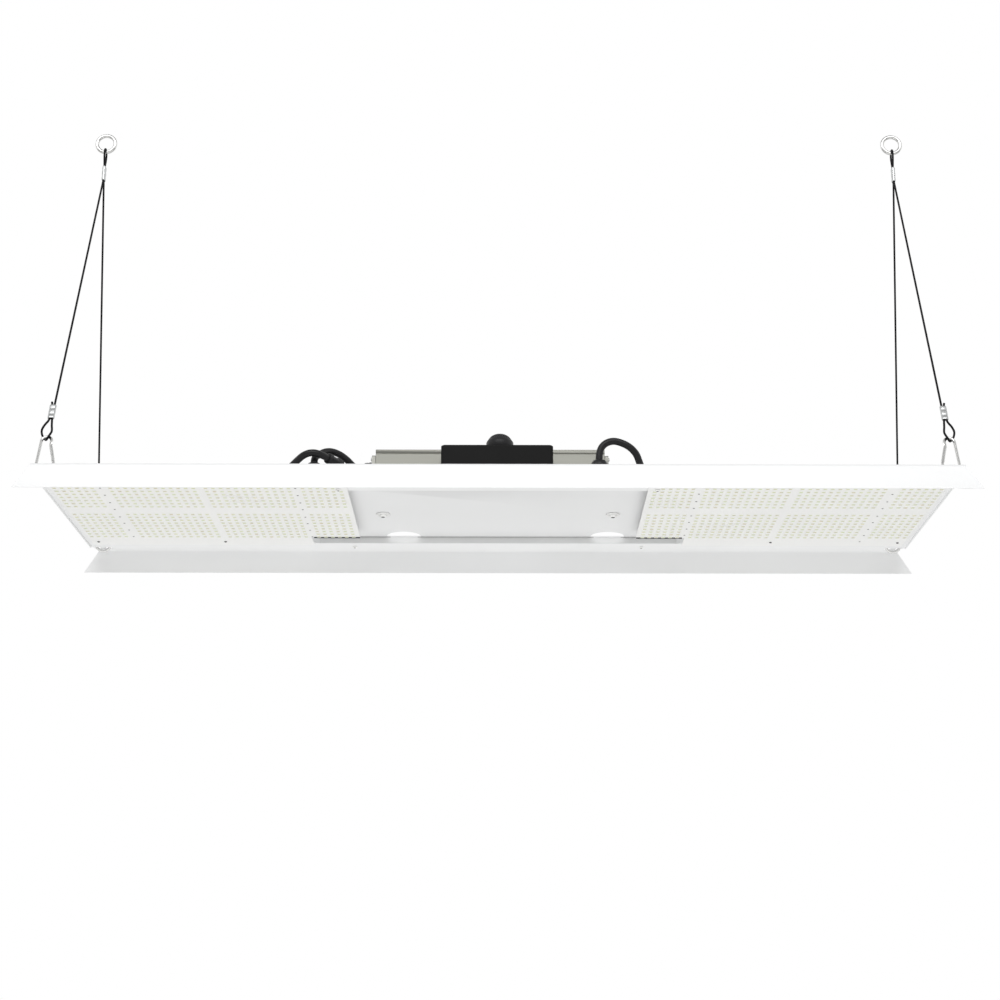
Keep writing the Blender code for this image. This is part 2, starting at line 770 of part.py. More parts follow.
# The points that each lead runs through, in light coordinates and millimetres
LEAD_ROUTES = {
    "led_lead_left": [
        (-147, -82, 25.6),
        (-156, -82, 25.6),
        (-165.2, -82, 25.6),
        (-171, -82.4, 27.4),
        (-176.4, -84.2, 31.8),
        (-182.3, -87.5, 37.2),
        (-188.5, -91.4, 41.3),
        (-195, -95.6, 43.7),
        (-201.5, -100.6, 43.9),
        (-207.8, -106.8, 41.3),
        (-213, -114, 35.8),
        (-216.4, -120.8, 30.6),
        (-217.8, -125.8, 26),
        (-218, -127.9, 21.2),
        (-218, -128, 16),
        (-218, -128, 8),
        (-218, -128, -4),
    ],
    "led_lead_right": [
        (128.5, -72, 26.5),
        (140, -72, 26.5),
        (150, -72, 26.5),
        (158, -74.5, 25.5),
        (166, -82, 21.5),
        (171.5, -95, 17.5),
        (172.5, -110, 15.5),
        (170.5, -122, 16.5),
        (167.5, -130, 21.5),
        (163.5, -135, 29.5),
        (156.5, -138, 36.5),
        (147, -139.5, 41.5),
        (136.5, -140, 43.8),
        (127.5, -140, 41),
        (122, -140, 35),
        (119.8, -140, 27),
        (119.5, -140, 20),
        (119.5, -140, 12),
        (119.5, -140, -4),
    ],
    "ac_lead": [
        (-147, -58, 24),
        (-156, -58, 24),
        (-165.2, -58, 24),
        (-173, -60, 23.4),
        (-179.3, -65.7, 22.2),
        (-182.6, -73.8, 21),
        (-183.6, -82.8, 20.4),
        (-183.7, -91.5, 21),
        (-184.6, -99, 22.8),
        (-188.2, -106.5, 24.5),
        (-193, -113.2, 25.3),
        (-197.8, -119.9, 26.1),
        (-202.6, -126.6, 26.9),
        (-208.4, -133.1, 28),
        (-215.8, -137.2, 29.5),
        (-223.4, -137.8, 29.1),
        (-230.5, -135.8, 26.6),
        (-237.3, -130.6, 22.8),
        (-243.8, -126, 18),
        (-251, -119.3, 13.7),
        (-258.3, -110, 11),
        (-265.7, -98.5, 9.9),
        (-272.5, -86, 9.6),
        (-279, -73, 9.8),
        (-286.5, -62.5, 10.3),
        (-292, -58.6, 10.6),
        (-297.2, -58, 10.7),
    ],
}

# The thin feeds from the glands to the boards' terminals
FEED_ROUTES = {
    "board_feed_left": [
        (-218, -128, -5.4),
        (-218.2, -129, -8),
        (-220, -132.6, -10.3),
        (-224.5, -136.8, -11.2),
        (-231, -137, -10),
        (-238, -132.5, -7.6),
        (-244.5, -127, -5.4),
        (-251.2, -125.2, -4.9),
    ],
    "board_feed_right": [
        (119.5, -140, -5.4),
        (120, -140, -9.5),
        (126, -139, -12.5),
        (138, -137, -8.5),
        (152, -134, -3),
        (175, -130, -2),
        (205, -127, -2),
        (225, -125.5, -2.2),
        (240, -125, -4),
        (251.7, -125, -4.8),
    ],
}


def build_leads(light):
    for side, (x, y) in TRAY_GLANDS.items():
        shape = gland(19.1 * MM, SHEET)
        add(f"tray_gland_{side}", shape, BLACK_PLASTIC, light, (x, y, SHEET))
    for name, (sx, y, z) in DRIVER_GLANDS.items():
        face = DRIVER_X[0] if sx == LEFT else DRIVER_X[1]
        add(
            f"driver_gland_{name}",
            gland(13 * MM, END_PLATE),
            BLACK_PLASTIC,
            light,
            (face, y, z),
            (0, sx * math.pi / 2, 0),
        )
    for name, route in LEAD_ROUTES.items():
        points = smooth_line([Vector(p) * MM for p in route], 8 * MM)
        tube(name, points, LEAD_RADIUS, BLACK_RUBBER, light, sides=10)
    for name, route in FEED_ROUTES.items():
        points = smooth_line([Vector(p) * MM for p in route], 5 * MM)
        tube(name, points, FEED_RADIUS, BLACK_RUBBER, light)
    build_coupler(light)
    build_connector(light)


def build_coupler(light):
    """The ribbed coupler on the mains lead, on the straight before its first bend."""
    low, high = (Vector(LEAD_ROUTES["ac_lead"][k]) * MM for k in COUPLER_SPAN)
    long = (high - low).length
    outer, rib = COUPLER_RADIUS, COUPLER_RADIUS - 0.8 * MM
    profile = [(GLAND_BORE, 0), (rib, 0)]
    for k in range(3):
        start = 1 * MM + k * 3 * MM
        profile += [(outer, start), (outer, start + 1.6 * MM), (rib, start + 2.1 * MM)]
    profile += [(rib, long - 6.5 * MM), (outer, long - 6 * MM), (outer, long - 0.8 * MM)]
    profile += [(outer - 0.8 * MM, long), (GLAND_BORE, long)]
    turn = (high - low).to_track_quat("Z", "Y").to_euler()
    shape = turned(profile, 16, ring=True)
    add("lead_coupler", shape, BLACK_PLASTIC, light, low, turn)


def build_connector(light):
    """The mains inlet connector on its short lead, and the clip that holds it."""
    x0, x1 = CONNECTOR_X
    long, radius = x1 - x0, CONNECTOR_RADIUS
    profile = [(0, 0), (5 * MM, 0), (5.6 * MM, 6 * MM), (7 * MM, 12 * MM)]
    profile += [(radius, 15 * MM), (radius, long), (radius - 1.6 * MM, long)]
    profile += [(radius - 1.6 * MM, long - 14 * MM), (0, long - 14 * MM)]
    height = SHEET + GAP + radius + 0.2 * MM
    add(
        "mains_connector",
        turned(profile, 20),
        BLACK_PLASTIC,
        light,
        (x1, CONNECTOR_Y, height),
        (0, -math.pi / 2, 0),
    )
    inner, outer, flange = radius + GAP, radius + GAP + 1.2 * MM, 20 * MM
    foot = SHEET + GAP
    drop = height - foot
    arch_out = circle(outer, 12, (0, height), 0, math.pi)
    arch_in = circle(inner, 12, (0, height), math.pi, 0)
    outline = [(flange, foot), (flange, foot + 1.2 * MM), (outer, foot + 1.2 * MM)]
    outline += arch_out
    outline += [(-outer, foot + 1.2 * MM), (-flange, foot + 1.2 * MM), (-flange, foot)]
    outline += [(-inner, height - drop)] + arch_in + [(inner, height - drop)]
    outline = [(CONNECTOR_Y + y, z) for y, z in outline]
    middle = x0 + 18 * MM
    clip = prism_along_x(outline, middle - 5 * MM, middle + 5 * MM)
    add("connector_clip", clip, BLACK_PLASTIC, light, smooth=False)


# ---------------------------------------------------------------- hanging gear


def hook_frame(light, name, sx, sy):
    """An empty on the strip between two slots. Its Z looks up the sling's leg."""
    sling_y = -BALANCE_Y
    rise = PLATE_DROP - APEX_EYE - FERRULE_LENGTH
    lean = math.atan2(sy * HOOK_Y - sling_y, rise)
    made = empty(f"hook_frame_{name}", (sx * HOOK_X[sy], sy * HOOK_Y, 0))
    made.rotation_euler = (lean, 0, 0)
    made.parent = light
    return made


def hook_path():
    """The snap hook's wire in (x, z), from the nose round the bow, up the back, over
    the eye and down to the flattened end at the gate's pin. The gate is at +X."""
    bow, eye = (0, BOW_CENTRE), (EYE_OFFSET, BOW_CENTRE + EYE_RISE)
    apart = math.hypot(eye[0] - bow[0], eye[1] - bow[1])
    aim = math.atan2(eye[1] - bow[1], eye[0] - bow[0])
    touch = aim + math.acos((BOW_RADIUS - EYE_RADIUS) / apart)
    points = circle(BOW_RADIUS, 18, bow, nose_angle(), touch - 2 * math.pi)
    points += circle(EYE_RADIUS, 14, eye, touch, 0)
    x, z = gate_pin()
    points += [(x, z + up) for up in (4.4 * MM, 3.4 * MM, -1.8 * MM)]
    return points


def gate_pin():
    return (EYE_OFFSET + EYE_RADIUS, BOW_CENTRE + EYE_RISE - PIN_DROP)


def nose_angle():
    """Where on the bow the hook's nose ends, so that it points straight at the pin."""
    x, z = gate_pin()
    z -= BOW_CENTRE
    return math.atan2(z, x) - math.acos(BOW_RADIUS / math.hypot(x, z))


def flat_wire(points, radius, flattened, sides=8):
    """A round wire along (x, z) points whose last few loops are flattened across Y."""
    shape = bmesh.new()
    loops = []
    for k, (x, z) in enumerate(points):
        before, after = points[max(k - 1, 0)], points[min(k + 1, len(points) - 1)]
        run = Vector((after[0] - before[0], 0, after[1] - before[1])).normalized()
        out = run.cross(Vector((0, 1, 0)))
        wide = TONGUE if k >= len(points) - flattened else radius
        loop = []
        for i in range(sides):
            angle = 2 * math.pi * (i + 0.5) / sides
            side = Vector((0, radius * math.sin(angle), 0))
            side.y = max(-wide, min(wide, side.y))
            loop.append(
                shape.verts.new(
                    Vector((x, 0, z)) + radius * math.cos(angle) * out + side
                )
            )
        loops.append(loop)
    for one, two in zip(loops, loops[1:]):
        for i in range(sides):
            nxt = (i + 1) % sides
            shape.faces.new([one[i], one[nxt], two[nxt], two[i]])
    shape.faces.new(loops[0])
    shape.faces.new(loops[-1][::-1])
    return shape


def pin_shape(radius, half_length, sides=12):
    """A plain pin along Y, about the origin."""
    shape = prism(circle(radius, sides), -half_length, half_length)
    turn = Matrix.Rotation(math.pi / 2, 3, "X")
    bmesh.ops.transform(shape, matrix=turn.to_4x4(), verts=shape.verts)
    return shape


def build_hook(name, frame, sx):
    """A snap hook with its gate, which turns on a pin through the fork at its top."""
    inward = -sx
    path = [(inward * x, z) for x, z in hook_path()]
    hook = add(f"snap_hook_{name}", flat_wire(path, HOOK_WIRE, 2), STEEL, frame)
    pin_x, pin_z = gate_pin()
    at = (inward * pin_x, 0, pin_z)
    hole = cutter(f"pin_hole_{name}", pin_shape(PIN_RADIUS + GAP, 6 * MM), frame, at)
    combine(hook, hole)
    nose_x = BOW_RADIUS * math.cos(nose_angle())
    nose_z = BOW_CENTRE + BOW_RADIUS * math.sin(nose_angle())
    long = math.hypot(pin_x - nose_x, pin_z - nose_z) - GAP
    turn = (0, -inward * nose_angle(), 0)
    r = GATE_WIRE
    profile = [(0, -long), (r * 0.8, -long), (r, -long + 0.8 * MM), (r, 0.8 * MM)]
    profile += [(r * 0.7, 1.8 * MM), (0, 1.9 * MM)]
    gate = add(f"hook_gate_{name}", turned(profile, 12), STEEL, frame, at, turn)
    fork = box((-3 * MM, -GATE_SLOT, -GATE_FORK), (3 * MM, GATE_SLOT, 4 * MM))
    combine(gate, cutter(f"gate_fork_{name}", fork, frame, at))
    combine(gate, hole)
    pin = pin_shape(PIN_RADIUS, GATE_WIRE + 0.2 * MM, 8)
    add(f"gate_pin_{name}", pin, STEEL, frame, at)


def stadium(half_length, radius, steps=6):
    """The outline of a slot shape along X."""
    straight = half_length - radius
    right = circle(radius, steps, (straight, 0), -math.pi / 2, math.pi / 2)
    left = circle(radius, steps, (-straight, 0), math.pi / 2, 1.5 * math.pi)
    return right + left


def ferrule():
    """A pressed sleeve round two wires, z = 0 at its lower end."""
    outer = stadium(4.1 * MM, 2.4 * MM)
    inner = stadium(ROPE_PITCH + ROPE_RADIUS + 0.3 * MM, ROPE_RADIUS + 0.3 * MM)
    return sleeve(outer, inner, 0, FERRULE_LENGTH)


def loop_low():
    """Height of the rope's centreline where it passes under the hook's eye."""
    bar = BOW_CENTRE + EYE_RISE + EYE_RADIUS
    return bar - HOOK_WIRE - ROPE_RADIUS - GAP


LOOP_HEIGHT = 31 * MM
# Half of the rope's loop round a snap hook, as (across, up) from its lowest point
LOOP_ROUTE = ((3.4, 1.0), (6.1, 3.9), (7.0, 8.0), (6.3, 13.5), (4.4, 20.5), (2.3, 27.0))


def corner_route(tail_first):
    """The sling at one hook as (across, up): tail, ferrule, loop, ferrule again."""
    start = loop_low() + LOOP_HEIGHT
    end = start + FERRULE_LENGTH
    half = [(a * MM, loop_low() + b * MM) for a, b in reversed(LOOP_ROUTE)]
    there = [(2.3 * MM, end + 5 * MM), (ROPE_PITCH, end + 1 * MM)]
    there += [(ROPE_PITCH, start + 2 * MM), (ROPE_PITCH, start)]
    there += half + [(0, loop_low())]
    back = [(-a, b) for a, b in reversed(half)]
    back += [(-ROPE_PITCH, start), (-ROPE_PITCH, start + 2 * MM)]
    back += [(-ROPE_PITCH, end + 1 * MM)]
    route = there + back
    return route if tail_first else route[::-1]


def apex_route():
    """The rope through the top ferrule and its eye over the ring, as (y, z)."""
    top = RING_WIRE + ROPE_RADIUS + GAP
    low, high = -APEX_EYE - FERRULE_LENGTH, -APEX_EYE
    rise = [(ROPE_PITCH, low), (ROPE_PITCH, high - 2 * MM), (ROPE_PITCH, high)]
    rise += [(2.4 * MM, high + 4 * MM), (4.7 * MM, high + 11 * MM)]
    rise += [(5.9 * MM, -4.5 * MM), (5.3 * MM, 0.4 * MM), (3 * MM, 3.1 * MM)]
    return [(-y, z) for y, z in rise] + [(0, top)] + rise[::-1]


def loop_point(sx, sy, frame_matrix, across, up):
    """A point of the corner loop in light coordinates. The loop runs through the eye
    along Y and twists as it rises, so that its wires lie side by side in the ferrule."""
    inward = -sx
    twist = min(1, max(0, (up - loop_low()) / LOOP_TWIST))
    turn = LOOP_TURN[0] + (LOOP_TURN[1] - LOOP_TURN[0]) * twist
    part = min(1, max(0, (up - loop_low()) / LOOP_HEIGHT))
    leaning = LOOP_SET * math.sin(math.pi * part) ** 2
    x = inward * (EYE_OFFSET - leaning + across * math.sin(turn) * sy)
    y = across * math.cos(turn)
    return frame_matrix @ Vector((x, y, up))


def build_hanging_gear(light, ceiling):
    for side, sx in (("left", LEFT), ("right", RIGHT)):
        line = []
        for end, sy in (("front", FRONT), ("back", BACK)):
            name = f"{end}_{side}"
            frame = hook_frame(light, name, sx, sy)
            build_hook(name, frame, sx)
            add(
                f"sling_ferrule_{name}",
                ferrule(),
                BARE_ALUMINIUM,
                frame,
                (-sx * EYE_OFFSET, 0, loop_low() + LOOP_HEIGHT),
            )
            local = frame.matrix_basis
            route = [
                loop_point(sx, sy, local, a, b) for a, b in corner_route(sy == FRONT)
            ]
            if sy == BACK:
                apex = Vector((sx * SLING_X, -BALANCE_Y, PLATE_DROP))
                over = [apex + Vector((0, y, z)) for y, z in apex_route()]
                line += smooth_line(over, 3.5 * MM)
            line += smooth_line(route, 4.2 * MM)
        tube(f"sling_{side}", line, ROPE_RADIUS, BLACK_RUBBER, light)
        add(
            f"top_ferrule_{side}",
            ferrule(),
            BARE_ALUMINIUM,
            light,
            (sx * SLING_X, -BALANCE_Y, PLATE_DROP - APEX_EYE - FERRULE_LENGTH),
            (0, 0, math.pi / 2),
        )
        ring = [
            (sx * SLING_X + x, 0, z)
            for x, z in circle(RING_RADIUS, 28, (0, RING_RADIUS))
        ]
        tube(f"hanging_ring_{side}", ring, RING_WIRE, STEEL, ceiling, closed=True)


# ---------------------------------------------------------------- the whole light


def build():
    for old in list(bpy.data.objects):
        bpy.data.objects.remove(old)
    ceiling = empty("ceiling_side", (0, 0, 0))
    light = empty("light_frame", (0, BALANCE_Y, -PLATE_DROP))
    build_hood(light)
    build_platform(light)
    build_platform_screws(light)
    build_boards(light)
    build_driver(light)
    build_dimmer(light)
    build_knob(light)
    build_leads(light)
    build_hanging_gear(light, ceiling)


build()
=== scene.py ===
"""The looks of a hanging LED grow light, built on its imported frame.

Light coordinates have z = 0 at the underside of the hood's plate and y = 0 at the middle
of its depth, with the dimmer side at -Y. at() turns them into the frame's coordinates.
"""

import json
import math

import bmesh
import bpy
from mathutils import Matrix, Vector


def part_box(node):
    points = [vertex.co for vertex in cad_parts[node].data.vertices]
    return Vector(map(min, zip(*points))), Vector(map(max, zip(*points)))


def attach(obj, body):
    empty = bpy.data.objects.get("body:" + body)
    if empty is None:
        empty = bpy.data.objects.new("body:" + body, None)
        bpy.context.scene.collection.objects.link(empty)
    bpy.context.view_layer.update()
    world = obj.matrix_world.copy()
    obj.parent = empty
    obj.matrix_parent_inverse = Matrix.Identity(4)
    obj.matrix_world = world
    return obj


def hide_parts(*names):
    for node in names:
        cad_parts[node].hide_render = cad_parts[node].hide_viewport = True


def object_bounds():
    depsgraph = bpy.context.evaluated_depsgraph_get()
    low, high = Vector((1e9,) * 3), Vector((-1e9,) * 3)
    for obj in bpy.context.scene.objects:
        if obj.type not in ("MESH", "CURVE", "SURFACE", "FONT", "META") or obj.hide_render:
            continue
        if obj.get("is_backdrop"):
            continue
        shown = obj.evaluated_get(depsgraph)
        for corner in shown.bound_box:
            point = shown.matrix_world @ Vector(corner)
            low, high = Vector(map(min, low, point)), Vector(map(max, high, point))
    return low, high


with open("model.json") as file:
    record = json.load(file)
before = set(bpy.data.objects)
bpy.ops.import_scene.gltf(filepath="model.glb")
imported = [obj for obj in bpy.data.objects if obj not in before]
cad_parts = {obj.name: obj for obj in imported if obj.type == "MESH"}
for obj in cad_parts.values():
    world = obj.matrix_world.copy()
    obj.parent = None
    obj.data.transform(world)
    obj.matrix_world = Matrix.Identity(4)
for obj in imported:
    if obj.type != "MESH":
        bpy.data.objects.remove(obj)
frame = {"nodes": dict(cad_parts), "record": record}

CAD_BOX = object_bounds()

MM = 0.001
GAP = 0.3 * MM
LEFT, RIGHT = -1, 1
FRONT, BACK = -1, 1

SHEET = 1.2 * MM
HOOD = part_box("hood_tray")
PLATE_Z = HOOD[1][2] - SHEET
MIDDLE_Y = (HOOD[0][1] + HOOD[1][1]) / 2


def at(x, y, z):
    """A point in light coordinates, in metres, as a point of the frame."""
    return Vector((x, MIDDLE_Y + y, PLATE_Z + z))


# ---------------------------------------------------------------- camera

CAMERA_AT = (2.5 * MM, -2121.3 * MM, -654.8 * MM)
CAMERA_PITCH = math.radians(17.52)
CAMERA_ROLL = math.radians(0.09)
CAMERA_LENS = 63.86


def build_camera():
    lens = bpy.data.cameras.new("camera")
    lens.lens = CAMERA_LENS
    lens.clip_end = 100
    made = bpy.data.objects.new("camera", lens)
    bpy.context.scene.collection.objects.link(made)
    made.location = at(*CAMERA_AT)
    pitch = Matrix.Rotation(math.pi / 2 + CAMERA_PITCH, 3, "X")
    made.rotation_euler = (pitch @ Matrix.Rotation(CAMERA_ROLL, 3, "Z")).to_euler()
    bpy.context.scene.camera = made


# ---------------------------------------------------------------- shapes


def link(name, data, place=(0, 0, 0), turn=None):
    made = bpy.data.objects.new(name, data)
    bpy.context.scene.collection.objects.link(made)
    made.location = place
    if turn:
        made.rotation_euler = turn
    return made


def to_mesh(name, shape, smooth=35.0):
    """A mesh from a bmesh. Edges sharper than smooth degrees stay crisp."""
    bmesh.ops.recalc_face_normals(shape, faces=shape.faces)
    mesh = bpy.data.meshes.new(name)
    shape.to_mesh(mesh)
    shape.free()
    mesh.shade_smooth()
    mesh.set_sharp_from_angle(angle=math.radians(smooth))
    return mesh


def bridge(shape, loops, ring=False):
    """Faces from each loop of vertices to the next, and from last to first in a ring."""
    for one, two in zip(loops, loops[1:] + loops[:1] if ring else loops[1:]):
        for k in range(len(one)):
            nxt = (k + 1) % len(one)
            shape.faces.new([one[k], one[nxt], two[nxt], two[k]])


def capped(shape, loops):
    """A closed body through loops of vertices, with a face at each end."""
    bridge(shape, loops)
    shape.faces.new(loops[0])
    shape.faces.new(loops[-1])
    return shape


def round_edges(made, width, segments=2, angle=40.0):
    step = made.modifiers.new("edges", "BEVEL")
    step.width = width
    step.segments = segments
    step.limit_method = "ANGLE"
    step.angle_limit = math.radians(angle)
    step.harden_normals = True


def body_of(node):
    bodies = frame["record"]["behaviour"]["bodies"]
    return next(name for name, nodes in bodies.items() if node in nodes)


def stand_for(made, node):
    """The piece rides on its node's body and is shown in its place."""
    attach(made, body_of(node))
    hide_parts(node)
    return made


def corners(node):
    """The low and the high corner of a CAD piece's box."""
    return [Vector(corner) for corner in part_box(node)]


def dressed(node, finish, edge=0.3 * MM, segments=2):
    """A CAD piece again, with rounded edges and smooth shading."""
    shape = bmesh.new()
    shape.from_mesh(frame["nodes"][node].data)
    bmesh.ops.remove_doubles(shape, verts=shape.verts, dist=1e-6)
    bmesh.ops.dissolve_limit(
        shape, angle_limit=math.radians(1), verts=shape.verts, edges=shape.edges
    )
    made = link("shaped_" + node, to_mesh(node + "_mesh", shape))
    made.data.materials.append(finish)
    if edge:
        round_edges(made, edge, segments)
    return stand_for(made, node)


def circle(radius, sides, centre=(0, 0), start=0.0, end=2 * math.pi):
    whole = math.isclose(end - start, 2 * math.pi)
    steps = sides if whole else sides + 1
    return [
        (
            centre[0] + radius * math.cos(start + (end - start) * k / sides),
            centre[1] + radius * math.sin(start + (end - start) * k / sides),
        )
        for k in range(steps)
    ]


def prism(outline, low, high, shape=None):
    """An (x, y) outline drawn out along Z."""
    shape = shape or bmesh.new()
    loops = [[shape.verts.new((x, y, z)) for x, y in outline] for z in (low, high)]
    return capped(shape, loops)


def lathe(profile, sides=32, ring=False, radius_at=None):
    """A profile of (radius, z) points turned about Z. radius_at(radius, z, angle) may
    change the radius round the turn, for ribs and flats."""
    shape = bmesh.new()
    loops = []
    for radius, z in profile:
        if radius == 0:
            loops.append([shape.verts.new((0, 0, z))])
            continue
        loop = []
        for k in range(sides):
            angle = 2 * math.pi * k / sides
            r = radius_at(radius, z, angle) if radius_at else radius
            loop.append(shape.verts.new((r * math.cos(angle), r * math.sin(angle), z)))
        loops.append(loop)
    for one, two in zip(loops, loops[1:] + loops[:1] if ring else loops[1:]):
        for k in range(sides):
            corners = [one[k % len(one)], one[(k + 1) % len(one)]]
            corners += [two[(k + 1) % len(two)], two[k % len(two)]]
            corners = list(dict.fromkeys(corners))
            if len(corners) > 2:
                shape.faces.new(corners)
    return shape


def smooth_line(route, step):
    """Points about a step apart on the centripetal Catmull-Rom curve through a route."""
    route = [Vector(p) for p in route]
    ends = [2 * route[0] - route[1], *route, 2 * route[-1] - route[-2]]
    line = []
    for a, b, c, d in zip(ends, ends[1:], ends[2:], ends[3:]):
        knots = [0.0]
        for one, two in ((a, b), (b, c), (c, d)):
            knots.append(knots[-1] + math.sqrt((two - one).length))
        count = max(1, round((c - b).length / step))
        for k in range(count):
            t = knots[1] + (knots[2] - knots[1]) * k / count
            level = [a, b, c, d]
            for span in (1, 2, 3):
                level = [
                    level[i].lerp(level[i + 1], blend_weight(t, knots, i, span))
                    for i in range(4 - span)
                ]
            line.append(level[0])
    return [*line, route[-1]]


def blend_weight(t, knots, i, span):
    """How far t lies along the knots that one Catmull-Rom blend runs between."""
    if span == 3:
        return (t - knots[1]) / (knots[2] - knots[1])
    return (t - knots[i]) / (knots[i + span] - knots[i])


def tube(name, points, radius, finish, closed=False, resolution=4):
    curve = bpy.data.curves.new(name, "CURVE")
    curve.dimensions = "3D"
    spline = curve.splines.new("POLY")
    spline.points.add(len(points) - 1)
    for point, place in zip(spline.points, points):
        point.co = (*place, 1)
    spline.use_cyclic_u = closed
    curve.bevel_depth = radius
    curve.bevel_resolution = resolution
    curve.use_fill_caps = not closed
    curve.materials.append(finish)
    return link(name, curve)


# ---------------------------------------------------------------- finishes


def add_node(tree, kind, settings=None, **inputs):
    """A shader node. Inputs are named with _ for spaces, and take a value or a socket."""
    made = tree.nodes.new("ShaderNode" + kind)
    for name, value in (settings or {}).items():
        setattr(made, name, value)
    for name, value in inputs.items():
        socket = made.inputs[name.replace("_", " ")]
        if isinstance(value, bpy.types.NodeSocket):
            tree.links.new(value, socket)
        else:
            socket.default_value = value
    return made


def shades(colour, spread):
    """A darker and a lighter shade of a colour, as RGBA."""
    return [
        (*(min(1.0, c * factor) for c in colour), 1) for factor in (1 - spread, 1 + spread)
    ]


def surface(
    name,
    colour,
    roughness,
    metallic=0.0,
    spread=0.04,
    blotch=30.0,
    uneven=0.06,
    grain=700.0,
    depth=0.02 * MM,
    stretch=(1, 1, 1),
    specular=0.5,
):
    """A finish whose colour and gloss drift slowly and whose face has a fine grain.
    Scales are per metre; stretch below 1 draws the grain out along that axis."""
    made = bpy.data.materials.new(name)
    made.use_nodes = True
    tree = made.node_tree
    shader = tree.nodes["Principled BSDF"]
    shader.inputs["Metallic"].default_value = metallic
    shader.inputs["Specular IOR Level"].default_value = specular
    place = add_node(tree, "TexCoord").outputs["Object"]
    place = add_node(tree, "Mapping", Vector=place, Scale=stretch).outputs["Vector"]
    drift = add_node(tree, "TexNoise", Vector=place, Scale=blotch, Detail=4.0)
    ramp = add_node(tree, "ValToRGB", Fac=drift.outputs["Fac"])
    ramp.name = "colour"
    low, high = ramp.color_ramp.elements
    low.position, high.position = 0.3, 0.7
    low.color, high.color = shades(colour, spread)
    tree.links.new(ramp.outputs["Color"], shader.inputs["Base Color"])
    gloss = add_node(
        tree,
        "MapRange",
        Value=drift.outputs["Fac"],
        From_Min=0.3,
        From_Max=0.7,
        To_Min=roughness - uneven,
        To_Max=roughness + uneven,
    )
    tree.links.new(gloss.outputs["Result"], shader.inputs["Roughness"])
    fine = add_node(tree, "TexNoise", Vector=place, Scale=grain, Detail=3.0)
    bump = add_node(tree, "Bump", Height=fine.outputs["Fac"], Distance=depth)
    bump.name = "grain"
    tree.links.new(bump.outputs["Normal"], shader.inputs["Normal"])
    return made


def add_relief(finish, height, depth):
    """Adds a second, coarser relief under a finish's grain."""
    tree = finish.node_tree
    grain = tree.nodes["grain"]
    coarse = add_node(tree, "Bump", Height=height, Distance=depth)
    tree.links.new(coarse.outputs["Normal"], grain.inputs["Normal"])


def powder_coat(name, colour):
    finish = surface(name, colour, 0.34, spread=0.012, blotch=6, depth=0.03 * MM)
    finish.node_tree.nodes["Principled BSDF"].inputs["Coat Weight"].default_value = 0.15
    return finish


def solder_mask():
    """White solder mask with the faint edges of the copper pours under it."""
    finish = surface("solder_mask", (0.93, 0.93, 0.92), 0.32, spread=0.015, blotch=12)
    tree = finish.node_tree
    place = add_node(tree, "TexCoord").outputs["Object"]
    pours = add_node(
        tree,
        "TexBrick",
        Vector=place,
        Scale=1.0,
        Mortar_Size=0.0006,
        Mortar_Smooth=0.3,
        Brick_Width=12.2 * MM,
        Row_Height=11 * MM,
    )
    add_relief(finish, pours.outputs["Fac"], -0.05 * MM)
    return finish


def extruded_alloy(name, colour, roughness, along=(0.04, 1, 1)):
    return surface(
        name,
        colour,
        roughness,
        metallic=1.0,
        spread=0.05,
        blotch=60,
        uneven=0.08,
        grain=1500,
        depth=0.012 * MM,
        stretch=along,
    )


def rope_coat():
    """Black nylon over laid steel strands, which show through as a fine slow helix."""
    finish = surface(
        "rope_coat", (0.004, 0.004, 0.005), 0.5, spread=0.3, blotch=200, specular=0.15
    )
    tree = finish.node_tree
    place = add_node(tree, "TexCoord").outputs["Object"]
    turn = add_node(
        tree, "Mapping", Vector=place, Rotation=(0, math.radians(32), math.radians(20))
    )
    lay = add_node(
        tree,
        "TexWave",
        {"wave_profile": "SIN"},
        Vector=turn.outputs["Vector"],
        Scale=220.0,
    )
    add_relief(finish, lay.outputs["Fac"], 0.04 * MM)
    return finish


def phosphor(name, colour):
    finish = surface(name, colour, 0.45, spread=0.08, blotch=900, depth=0.01 * MM)
    shader = finish.node_tree.nodes["Principled BSDF"]
    shader.inputs["Subsurface Weight"].default_value = 0.2
    shader.inputs["Subsurface Scale"].default_value = 0.4 * MM
    return finish


WHITE = powder_coat("powder_coat", (0.92, 0.925, 0.93))
# Painted shade: a darker copy of the hood's white powder coat, for the recessed driver
# platform.
SHADED_WHITE = powder_coat("shaded_powder_coat", (0.86, 0.865, 0.87))
# Painted shade: a grey strip stands for the shade on the recess's far wall, and a darker grey
# line stands for the shadow in the wall's top corner.
WALL_SHADE = surface("painted_wall_shade", (0.76, 0.765, 0.765), 0.7, spread=0.03, grain=400, depth=0.1 * MM)
CORNER_SHADOW = surface("painted_corner_shadow", (0.5, 0.5, 0.5), 0.6, spread=0.04)
MASK = solder_mask()
CHIP_CASE = surface("chip_case", (0.86, 0.87, 0.78), 0.4, blotch=400)
COOL_PHOSPHOR = phosphor("cool_phosphor", (0.67, 0.70, 0.45))
WARM_PHOSPHOR = phosphor("warm_phosphor", (0.62, 0.57, 0.42))
TIN = surface("tinned_pad", (0.5, 0.5, 0.48), 0.3, metallic=1.0, blotch=500)
MOULDED_WHITE = surface("moulded_white", (0.80, 0.80, 0.77), 0.42, blotch=80)
DRIVER_ALLOY = extruded_alloy("driver_alloy", (0.31, 0.31, 0.28), 0.42)
END_ALLOY = extruded_alloy("end_alloy", (0.38, 0.38, 0.35), 0.38, along=(1, 1, 1))
ZINC = surface("zinc_plate", (0.74, 0.74, 0.72), 0.34, metallic=1.0, blotch=120)
BRIGHT_ZINC = surface("bright_zinc", (0.93, 0.93, 0.92), 0.4, metallic=0.6, blotch=120)
